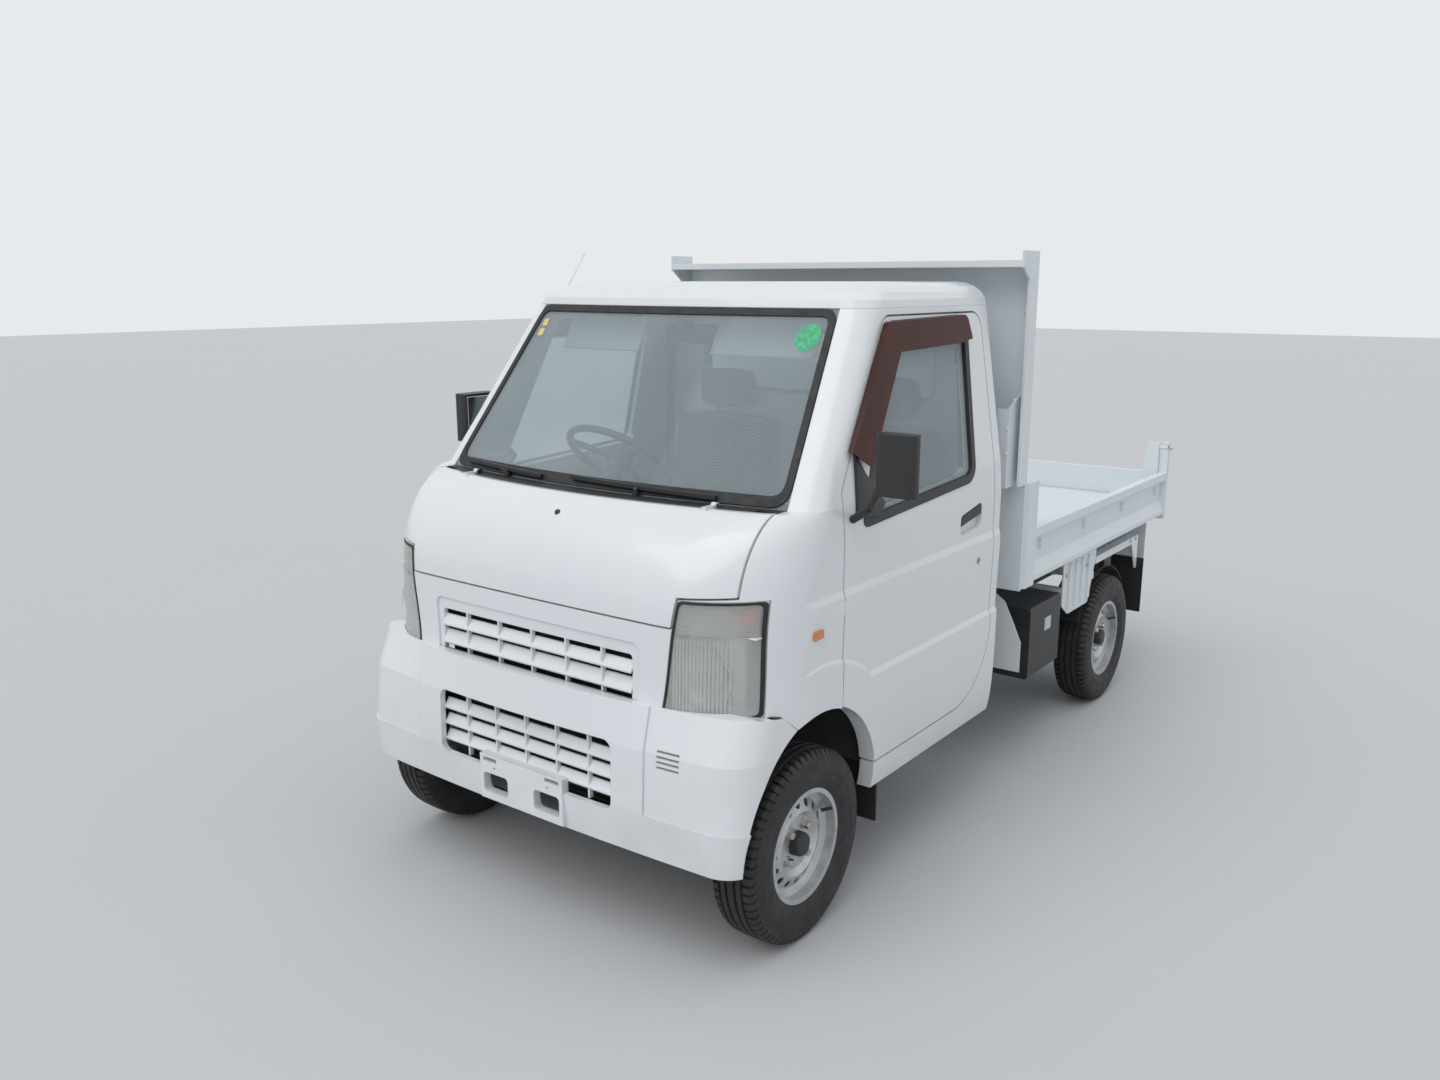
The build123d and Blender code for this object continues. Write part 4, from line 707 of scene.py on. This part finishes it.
# along the axis from the foot, radius
BULB_PROFILE = [(0, 0), (0, 0.011), (0.035, 0.011), (0.043, 0.006), (0.045, 0)]
TURN_PROFILE = [(0, 0), (0, 0.014), (0.022, 0.017), (0.040, 0.013), (0.046, 0)]
FORWARDS = (0, -1, 0)
parabola = [(BOWL_DEPTH * (r / BOWL_R) ** 2, r) for r in (0.020, 0.035, 0.050, 0.065, BOWL_R)]
dish = parabola + [(along - BOWL_WALL, radius) for along, radius in reversed(parabola)]
amber_glass = finish("Amber bulb", (0.85, 0.32, 0.06), 0.2,
                     {"Emission Color": (0.9, 0.3, 0.05, 1), "Emission Strength": 0.15})
mottle(amber_glass, (0.8, 0.24, 0.03), scale=80, most=0.5, low=0.3, high=0.8, detail=2)
grain(amber_glass, scale=300, depth=0.0003)
for side, sign in SIDES:
    reflector = lathe(dish, 48, (sign * BOWL_X, BOWL_Y, BOWL_Z), FORWARDS)
    bulb = lathe(BULB_PROFILE, 24, (sign * BOWL_X, BOWL_Y + BOWL_WALL, BOWL_Z), FORWARDS)
    piece(f"lamp_reflector_{side}", closed_mesh("Reflector", joined(reflector, bulb)), bowl, "chassis",
          "lamp_bowl")
    indicator = lathe(TURN_PROFILE, 24, (sign * TURN_X, TURN_Y, TURN_Z), FORWARDS)
    piece(f"turn_bulb_{side}", closed_mesh("Turn bulb", indicator), amber_glass, "chassis", "amber_lamp")
    shelf = round_block((sign * SHELF_INNER_X, SHELF_FRONT_Y, LAMP_SHELF - SHELF_HALF),
                        (sign * SHELF_OUTER_X, SHELF_BACK_Y, LAMP_SHELF + SHELF_HALF), edge=0.0008)
    piece(f"lamp_shelf_{side}", closed_mesh("Lamp shelf", shelf), bowl, "chassis", "lamp_bowl")


def seen_on(node, way):
    """A place on a node's outer face, seen along the way: 'front' takes (x, z), a side (y, z)."""
    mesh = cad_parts[node].data
    tree = BVHTree.FromPolygons([v.co for v in mesh.vertices], [f.vertices for f in mesh.polygons])

    def place(a, b, out=0.0):
        if way == "front":
            hit = tree.ray_cast(Vector((a, -3, b)), Vector((0, 1, 0)))[0]
            return Vector((a, hit.y - out, b))
        sign = dict(SIDES)[way]
        hit = tree.ray_cast(Vector((sign * 3, a, b)), Vector((-sign, 0, 0)))[0]
        return Vector((hit.x + sign * out, a, b))

    return place


def lamp_loop(sign, inset, radius):
    """The lens's outline, moved inwards: its inner side leans outboard towards the top."""
    low, top = LAMP_LOW + inset, LAMP_TOP - inset
    inner_low = LAMP_INNER_LOW + LAMP_INNER_SLOPE * inset + inset
    inner_top = LAMP_INNER_LOW + LAMP_INNER_SLOPE * (LAMP_TOP - LAMP_LOW - inset) + inset
    outer = LAMP_OUTER - inset
    corners = [(inner_low, low), (outer, low), (outer, top), (inner_top, top)]
    return [(sign * x, z) for x, z in rounded_loop(corners, radius)]


LENS_BACK = 0.0075
FLUTES, FLUTE_X, FLUTE_STEP, FLUTE_LOW, FLUTE_TOP, FLUTE_R = 16, 0.497, 0.0088, 0.706, 0.896, 0.0030
LINES, LINE_Z, LINE_STEP, LINE_INNER_X, LINE_OUTER_X, LINE_R = 15, 0.9105, 0.0053, 0.505, 0.677, 0.0016
LINE_PARTS = 12
fluted = see_through("Fluted lens", (0.90, 0.91, 0.91), 0.10, 0.55, (0.97, 0.97, 0.97))
mottle(fluted, (0.80, 0.81, 0.81), scale=20, most=0.4, detail=2)
grain(fluted, scale=150, depth=0.0002)
on_lens = seen_on("headlamp_lenses", "front")
for side, sign in SIDES:
    lip = band("Lamp seal", lamp_loop(sign, 0.002, 0.012), lamp_loop(sign, 0.0085, 0.014),
               0.0012, 0.003, on_lens)
    piece(f"lamp_seal_{side}", lip, rubber, "chassis", "mount_rubber")
    flute_places = []
    for number in range(FLUTES):
        x = sign * (FLUTE_X + FLUTE_STEP * number)
        low, high = on_lens(x, FLUTE_LOW, -LENS_BACK), on_lens(x, FLUTE_TOP, -LENS_BACK)
        flute_places.append(((low + high) / 2, high - low))
    reach = (FLUTE_TOP - FLUTE_LOW) / 2
    flute = lathe([(-reach, 0), (-reach, FLUTE_R), (reach, FLUTE_R), (reach, 0)], 8)
    repeated(f"lens_flutes_{side}", flute, flute_places, fluted, "chassis", "lamp_lens")
    shape = bmesh.new()
    for number in range(LINES):
        z = LINE_Z + LINE_STEP * number
        rows = []
        for step in range(LINE_PARTS + 1):
            x = sign * (LINE_INNER_X + (LINE_OUTER_X - LINE_INNER_X) * step / LINE_PARTS)
            rows.append([shape.verts.new(on_lens(x, z + up, out - LENS_BACK))
                         for up, out in ((-LINE_R, 0), (0, LINE_R), (LINE_R, 0), (0, -LINE_R))])
        skin(shape, rows)
    piece(f"lens_lines_{side}", closed_mesh("Lens lines", shape), fluted, "chassis", "lamp_lens")


# Side markers and tail lamps: amber and red acrylic lenses, with fine moulded ribs under a clear
# gloss.
amber = finish("Amber lens", (0.80, 0.23, 0.03), 0.16, {"Coat Weight": 0.6})
mottle(amber, (0.88, 0.34, 0.06), scale=60, most=0.4, low=0.3, detail=2)
relief(amber, waves(amber, 1, 0.004), 0.0003, 0.002)
dress("amber_lamp", amber)

red = finish("Red lens", (0.45, 0.012, 0.012), 0.14, {"Coat Weight": 0.6})
mottle(red, (0.56, 0.03, 0.02), scale=60, most=0.4, low=0.3, detail=2)
relief(red, waves(red, 0, 0.006), 0.0003, 0.002)
dress("red_lamp", red)


# Condenser and radiator core behind the two grilles: rows of thin upright aluminium fins, between
# flat tubes on the radiator and ahead of a plate on the condenser. All of it is painted near black as
# shade in the recess behind the grilles, and the plate is a dark sheet that stands for the shade
# behind the condenser's fins.
FIN_PITCH, FIN_HALF = 0.0045, 0.0004
RADIATOR_Z, RADIATOR_HALF_H = 0.515, 0.150
RADIATOR_FINS_Y, RADIATOR_TUBES_Y = AXLE_F - 0.2985, AXLE_F - 0.3015
TUBES, TUBE_LOW_Z, TUBE_PITCH = 19, 0.372, 0.0162
TUBE_REACH = Vector((0.302, 0.0015, 0.0013))
CONDENSER_Z, CONDENSER_HALF_H, CONDENSER_FINS_Y = 0.760, 0.074, AXLE_F - 0.2835
PLATE_HALF, PLATE_FRONT_Y, PLATE_BACK_Y, PLATE_RIM = 0.366, AXLE_F - 0.278, AXLE_F - 0.274, 0.002
# Near-black colour: painted shade for the recess behind the grilles, with lighter patches at random.
shaded_core_metal = finish("Painted shade core", (0.05, 0.052, 0.055), 0.5, {"Metallic": 0.4})
mottle(shaded_core_metal, (0.11, 0.105, 0.10), scale=40, most=0.6, detail=4)
grain(shaded_core_metal, scale=400, depth=0.0002, detail=3)


def fin_row(name, each_way, y, z, half_depth, half_height):
    """Upright fins across the core: one on the middle plane and as many each way."""
    reach = Vector((FIN_HALF, half_depth, half_height))
    places = [((number * FIN_PITCH, y, z), UP) for number in range(-each_way, each_way + 1)]
    repeated(name, round_block(-reach, reach, edge=0), places, shaded_core_metal, "chassis", "chassis_black")


fin_row("radiator_fins", 66, RADIATOR_FINS_Y, RADIATOR_Z, 0.002, RADIATOR_HALF_H)
fin_row("condenser_fins", 80, CONDENSER_FINS_Y, CONDENSER_Z, 0.004, CONDENSER_HALF_H)
# The condenser's back plate: a dark sheet right behind the fins, put there as painted shade.
plate_reach = CONDENSER_HALF_H + PLATE_RIM
plate = round_block((-PLATE_HALF, PLATE_FRONT_Y, CONDENSER_Z - plate_reach),
                    (PLATE_HALF, PLATE_BACK_Y, CONDENSER_Z + plate_reach), edge=0.001, segments=1)
piece("condenser_back", closed_mesh("Condenser shade plate", plate), shaded_core_metal, "chassis", "chassis_black")
tubes = [((0, RADIATOR_TUBES_Y, TUBE_LOW_Z + row * TUBE_PITCH), UP) for row in range(TUBES)]
tube = round_block(-TUBE_REACH, TUBE_REACH, edge=0.0004, segments=1)
repeated("radiator_tubes", tube, tubes, shaded_core_metal, "chassis", "chassis_black")


# Seats: woven cloth over foam on the riser, with a pulled-in seam round the middle panel; the backs
# carry the head rests on two rods.
SEAT_X, CUSHION_HALF, BACK_HALF, REST_HALF = 0.335, 0.238, 0.226, 0.123
# front and back, behind the front axle; low and top
CUSHION_Y, CUSHION_Z = (0.602, 1.028), (0.713, 0.831)
BACK_Y, BACK_Z, BACK_LEAN = (0.957, 1.040), (0.836, 1.288), 0.085
REST_Y, REST_Z = (1.012, 1.070), (1.307, 1.449)
ROD_X, ROD_Y, ROD_Z = 0.05, 1.045, 1.283
ROD_PROFILE = [(-0.004, 0), (-0.004, 0.006), (0.030, 0.006), (0.030, 0)]
SEAM_AT, SEAM_WIDTH, PAD_CUTS, THREAD_PITCH = 0.62, 0.09, 13, 0.0022
cloth = finish("Woven upholstery", (0.045, 0.047, 0.052), 0.85, {"Sheen Weight": 0.3})
mottle(cloth, (0.085, 0.085, 0.092), scale=200, most=0.6, low=0.35)
relief(cloth, maths(cloth, "MULTIPLY", waves(cloth, 0, THREAD_PITCH), waves(cloth, 1, THREAD_PITCH)), 0.0006)
dress("seat_cloth", cloth)


def pad(middle_x, half, front_and_back, low_and_top, crown, lean=0.0, pinch=0.0):
    """A stuffed pad: crowned towards a ball, with a seam pulled in on its top and front."""
    low = Vector((middle_x - half, AXLE_F + front_and_back[0], low_and_top[0]))
    high = Vector((middle_x + half, AXLE_F + front_and_back[1], low_and_top[1]))
    size, middle = (high - low) / 2, (high + low) / 2
    shape = bmesh.new()
    bmesh.ops.create_cube(shape, size=2)
    bmesh.ops.subdivide_edges(shape, edges=shape.edges[:], cuts=PAD_CUTS, use_grid_fill=True)
    for corner in shape.verts:
        x, y, z = corner.co
        ball = Vector((x * sqrt(1 - y * y / 2 - z * z / 2 + y * y * z * z / 3),
                       y * sqrt(1 - x * x / 2 - z * z / 2 + x * x * z * z / 3),
                       z * sqrt(1 - x * x / 2 - y * y / 2 + x * x * y * y / 3)))
        soft = Vector((x, y, z)).lerp(ball, crown)
        seam = pinch * max(0.0, 1 - abs(abs(x) - SEAM_AT) / SEAM_WIDTH)
        if z > 0.9:
            soft.z -= seam / size.z
        if y < -0.9:
            soft.y += seam / size.y
        place = Vector(soft[i] * size[i] for i in range(3)) + middle
        place.y += lean * (place.z - low.z)
        corner.co = place
    return shape


for side, sign in SIDES:
    seat_x = sign * SEAT_X
    seat = pad(seat_x, CUSHION_HALF, CUSHION_Y, CUSHION_Z, crown=0.30, pinch=0.008)
    cushion = piece(f"seat_cushion_{side}", closed_mesh("Cushion", seat), cloth, "chassis", "seat_cloth",
                    "seat_cushions")
    back = pad(seat_x, BACK_HALF, BACK_Y, BACK_Z, crown=0.26, lean=BACK_LEAN, pinch=0.007)
    rest = pad(seat_x, REST_HALF, REST_Y, REST_Z, crown=0.42)
    rods = [lathe(ROD_PROFILE, 12, (seat_x + x, AXLE_F + ROD_Y, ROD_Z)) for x in (-ROD_X, ROD_X)]
    backrest = piece(f"seat_back_{side}", closed_mesh("Back", joined(back, rest, *rods)), cloth, "chassis",
                     "seat_cloth", "seat_backs")


# Dashboard, column and inner trim: moulded grey plastic with a fine grain. The sun visors are
# boards in light grey vinyl, and the inside mirror hangs from the roof in a black shell.
SHELL_HALF, SHELL_Y, SHELL_Z, SHELL_RIM = 0.105, (0.395, 0.425), (1.575, 1.635), 0.007
STALK_HALF, STALK_Y, STALK_Z = 0.012, (0.345, 0.400), (1.620, 1.650)
FACE_SUNK, FACE_PROUD = 0.0005, 0.0015
VISOR_INNER_X, VISOR_OUTER_X, VISOR_LOW, VISOR_TOP = 0.14, 0.49, 1.550, 1.655
VISOR_Y, VISOR_T, VISOR_LEAN, VISOR_BOW = 0.300, 0.014, 0.55, 0.12
trim_grey = finish("Interior plastic", (0.075, 0.078, 0.082), 0.55)
mottle(trim_grey, (0.12, 0.125, 0.13), scale=12, most=0.5, high=0.75, detail=4)
grain(trim_grey, scale=800, depth=0.0003, edge=0.003)
dress("interior_grey", trim_grey)
vinyl = finish("Light grey vinyl", (0.52, 0.54, 0.56), 0.6)
mottle(vinyl, (0.60, 0.62, 0.64), scale=12, most=0.5, high=0.75, detail=4)
grain(vinyl, scale=700, depth=0.0003, edge=0.003)
mirror_face = finish("Mirror face", (0.72, 0.76, 0.78), 0.03, {"Metallic": 1.0})
grain(mirror_face, scale=4, depth=0.00002, detail=1)
shell = round_block((-SHELL_HALF, AXLE_F + SHELL_Y[0], SHELL_Z[0]),
                    (SHELL_HALF, AXLE_F + SHELL_Y[1], SHELL_Z[1]), edge=0.012)
stalk = round_block((-STALK_HALF, AXLE_F + STALK_Y[0], STALK_Z[0]),
                    (STALK_HALF, AXLE_F + STALK_Y[1], STALK_Z[1]), edge=0.004)
piece("inside_mirror", closed_mesh("Inside mirror", joined(shell, stalk)), plastic, "chassis",
      "black_plastic")
face_half = SHELL_HALF - SHELL_RIM
face = round_block((-face_half, AXLE_F + SHELL_Y[1] - FACE_SUNK, SHELL_Z[0] + SHELL_RIM),
                   (face_half, AXLE_F + SHELL_Y[1] + FACE_PROUD, SHELL_Z[1] - SHELL_RIM), edge=0.0008)
piece("inside_mirror_face", closed_mesh("Inside mirror face", face), mirror_face, "chassis", "rod_chrome")
for side, sign in SIDES:
    board = round_block((sign * VISOR_INNER_X, AXLE_F + VISOR_Y, VISOR_LOW),
                        (sign * VISOR_OUTER_X, AXLE_F + VISOR_Y + VISOR_T, VISOR_TOP), edge=0.006)
    for corner in board.verts:
        corner.co.y += VISOR_LEAN * (corner.co.z - VISOR_LOW) + VISOR_BOW * corner.co.x ** 2
    piece(f"sun_visor_{side}", closed_mesh("Sun visor", board), vinyl, "chassis", "interior_grey")


# Seat belts: ribbed black webbing, woven in one strip, that hangs from a moulded ring plate high on
# the door pillar and runs down beside the seat.
BELT_HALF, BELT_T, BELT_PARTS, BELT_SLACK, RIB_PITCH = 0.023, 0.0014, 12, 0.006, 0.003
BELT_SECTION = ((0, -BELT_HALF), (0, BELT_HALF), (BELT_T, BELT_HALF), (BELT_T, -BELT_HALF))
RING_X, RING_Y, RING_Z = (0.590, 0.604), (1.005, 1.065), (1.505, 1.560)
BELT_TOP, BELT_RUN = Vector((0.598, 1.035, 1.52)), Vector((0.030, 0.012, -0.80))
webbing = finish("Belt webbing", (0.02, 0.02, 0.022), 0.7, {"Sheen Weight": 0.2})
mottle(webbing, (0.045, 0.045, 0.048), scale=60, most=0.4)
relief(webbing, waves(webbing, 1, RIB_PITCH), 0.0004)
for side, sign in SIDES:
    shape = bmesh.new()
    rows = []
    for step in range(BELT_PARTS + 1):
        share = step / BELT_PARTS
        along = BELT_TOP + BELT_RUN * share
        along.x += BELT_SLACK * sin(pi * share)
        rows.append([shape.verts.new((sign * (along.x + dx), AXLE_F + along.y + dy, along.z))
                     for dx, dy in BELT_SECTION])
    skin(shape, rows)
    piece(f"seat_belt_{side}", closed_mesh("Belt", shape), webbing, "chassis", "seat_cloth")
    ring = round_block((sign * RING_X[0], AXLE_F + RING_Y[0], RING_Z[0]),
                       (sign * RING_X[1], AXLE_F + RING_Y[1], RING_Z[1]), edge=0.006)
    piece(f"belt_ring_{side}", closed_mesh("Belt ring", ring), plastic, "chassis", "black_plastic")


# Wiper blades: soft rubber strips that lie on the foot of the windscreen under their arms, thin at
# the glass and thicker where the arm's clip grips them.
BLADES, BLADE_PARTS, BLADE_Z, BLADE_DROP = ((-0.555, -0.185), (-0.055, 0.435)), 14, 1.212, 0.010
BLADE_SECTION = ((0.0045, -0.001), (0.009, -0.003), (0.009, 0.003), (0.0045, 0.001))  # off the glass, up
for number, (start, end) in enumerate(BLADES):
    shape = bmesh.new()
    rows = []
    for step in range(BLADE_PARTS + 1):
        share = step / BLADE_PARTS
        x, z = start + (end - start) * share, BLADE_Z - BLADE_DROP * share
        rows.append([shape.verts.new(screen_point(x, z, out) + Vector((0, 0, up)))
                     for out, up in BLADE_SECTION])
    skin(shape, rows)
    piece(f"wiper_rubber_{number}", closed_mesh("Wiper rubber", shape), rubber, "chassis", "mount_rubber")


# Rod aerial on the right pillar: a thin plated steel whip, a little thinner towards the knob at its
# tip, pushed into a black moulded foot.
WHIP_LOW, WHIP_TOP = Vector((-0.655, AXLE_F + 0.486, 1.683)), Vector((-0.660, AXLE_F + 0.622, 1.851))
rise = WHIP_TOP - WHIP_LOW
whip = lathe([(0, 0), (0, 0.0016), (rise.length, 0.0011), (rise.length, 0)], 10, WHIP_LOW, rise)
knob = lathe([(0, 0), (0.001, 0.0022), (0.005, 0.0022), (0.006, 0)], 10, WHIP_TOP, rise)
piece("aerial_whip", closed_mesh("Whip", joined(whip, knob)), zinc, "chassis", "rod_chrome")
foot = lathe([(-0.012, 0), (-0.012, 0.009), (0.002, 0.008), (0.022, 0.0045), (0.026, 0)], 16, WHIP_LOW, rise)
piece("aerial_foot", closed_mesh("Aerial foot", foot), plastic, "chassis", "black_plastic")


# Washer nozzle: a small black moulding clipped into a hole in the lid, its axis about square to the
# sloping panel.
NOZZLE_X, NOZZLE_Z, NOZZLE_AXIS = 0.034, 1.150, (0, -0.6, 0.8)
nozzle = lathe([(-0.004, 0), (-0.004, 0.009), (0.003, 0.008), (0.006, 0.005), (0.007, 0)], 24,
               seen_on("front_lid", "front")(NOZZLE_X, NOZZLE_Z), NOZZLE_AXIS)
piece("washer_nozzle", closed_mesh("Nozzle", nozzle), plastic, "front_lid", "black_plastic")


# Door locks: plated barrels with a dished face and a dark key slit, let into each door's skin below
# the handle.
LOCK_Y, LOCK_Z = AXLE_F + 0.947, 0.888
LOCK_PROFILE = [(-0.004, 0), (-0.004, 0.0125), (0.0012, 0.0125), (0.0022, 0.0115), (0.0022, 0.0095),
                (0.0010, 0.0090), (0.0012, 0)]
SLIT_DEEP, SLIT_PROUD, SLIT_OUT, SLIT_HALF_W, SLIT_HALF_H = 0.0010, 0.0018, 0.0004, 0.0012, 0.0045
for side, sign in SIDES:
    spot = seen_on(f"door_{side}", side)(LOCK_Y, LOCK_Z)
    lock = lathe(LOCK_PROFILE, 32, spot, (sign, 0, 0))
    piece(f"door_lock_{side}", closed_mesh("Lock", lock), zinc, f"door_{side}", "rim_silver")
    spot.x += sign * SLIT_OUT
    slit = round_block(spot - Vector((SLIT_DEEP, SLIT_HALF_W, SLIT_HALF_H)),
                       spot + Vector((SLIT_PROUD, SLIT_HALF_W, SLIT_HALF_H)), edge=0.0002, segments=1)
    piece(f"lock_slit_{side}", closed_mesh("Key slit", slit), plastic, f"door_{side}", "black_plastic")


# Door mirrors: glasses in the two black heads, the left one set for the driver and the right one
# folded flat along the door. Black moulded corner covers carry their arms.
MIRROR_LOW, MIRROR_TOP = 1.235, 1.378
MIRROR_SPANS = (
    # side, x of the glass's two sides, distance behind the front axle of its two sides
    ("left", (HALF + 0.071, HALF + 0.169), (0.1795, 0.1815)),
    ("right", (-HALF - 0.0845, -HALF - 0.0825), (0.202, 0.333)),
)
for side, across, behind in MIRROR_SPANS:
    face = round_block((across[0], AXLE_F + behind[0], MIRROR_LOW),
                       (across[1], AXLE_F + behind[1], MIRROR_TOP), edge=0.0009, segments=1)
    piece(f"door_mirror_face_{side}", closed_mesh("Mirror glass", face), mirror_face, f"door_{side}",
          "rod_chrome")

# distance behind the front axle, height
COVER_OUTLINE = ((0.196, 1.322), (0.176, 1.152), (0.296, 1.134), (0.330, 1.172), (0.240, 1.262))
COVER_PROUD, COVER_SUNK, COVER_EDGE = 0.009, -0.006, 0.004
for side, sign in SIDES:
    shape = bmesh.new()
    skin(shape, [[shape.verts.new((sign * (cab_half(z) + out), AXLE_F + y, z)) for y, z in COVER_OUTLINE]
                 for out in (COVER_PROUD, COVER_SUNK)])
    bmesh.ops.recalc_face_normals(shape, faces=shape.faces)
    rounded(shape, COVER_EDGE)
    piece(f"mirror_foot_{side}", closed_mesh("Mirror foot", shape), plastic, f"door_{side}", "black_plastic")


# Headboard rivets: a row of steel domes up each side post, painted over with the bed's satin
# white.
RIVET_X, RIVET_ROWS, RIVET_R, RIVET_H = 0.700, (1.200, 1.284, 1.374, 1.467, 1.564, 1.663), 0.0075, 0.0035
dome = [(-0.0008, 0), (-0.0008, RIVET_R)]
dome += [(RIVET_H * sin(k * pi / 8), RIVET_R * cos(k * pi / 8)) for k in range(4)]
dome.append((RIVET_H, 0))
on_headboard = seen_on("bed_headboard", "front")
rivets = [(on_headboard(x, z), FORWARDS) for x in (-RIVET_X, RIVET_X) for z in RIVET_ROWS]
repeated("headboard_rivets", lathe(dome, 16), rivets, bed_paint, "bed", "bed_white")


# Plated bolts: one through each upper ear of the tailgate, outside the bed, and a row along each
# rear guard.
GATE_PIN_Y, GATE_PIN_Z = AXLE_F + 2.995, 1.020
GUARD_BOLTS_BEHIND, GUARD_BOLT_Z = (1.88, 2.10, 2.65, 2.72), 0.640
bed_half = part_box("bed_body")[1].x
ear_bolts = [((sign * bed_half, GATE_PIN_Y, GATE_PIN_Z), (sign, 0, 0)) for side, sign in SIDES]
repeated("tailgate_bolts", hex_head(0.0085, 0.0065), ear_bolts, zinc, "bed", "rim_silver")
guard_bolts = []
for side, sign in SIDES:
    on_guard = seen_on("rear_guards", side)
    for behind in GUARD_BOLTS_BEHIND:
        guard_bolts.append((on_guard(AXLE_F + behind, GUARD_BOLT_Z, -0.001), (sign, 0, 0)))
repeated("guard_bolts", hex_head(0.0075, 0.0055), guard_bolts, zinc, "chassis", "rim_silver")


# Battery box: a bare pale label of thin plastic film, stuck to the outer face of the moulded
# cover.
LABEL_Y, LABEL_Z, LABEL_SUNK, LABEL_PROUD = (1.66, 1.72), (0.470, 0.520), 0.0005, 0.0010
label_paint = finish("Bare pale label", (0.50, 0.60, 0.68), 0.4)
mottle(label_paint, (0.62, 0.68, 0.72), scale=50, most=0.5)
grain(label_paint, scale=300, depth=0.0001)
cover_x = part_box("battery_box")[1].x
label = round_block((cover_x - LABEL_SUNK, AXLE_F + LABEL_Y[0], LABEL_Z[0]),
                    (cover_x + LABEL_PROUD, AXLE_F + LABEL_Y[1], LABEL_Z[1]), edge=0.0004, segments=1)
piece("battery_label", closed_mesh("Label", label), label_paint, "chassis", "body_white")
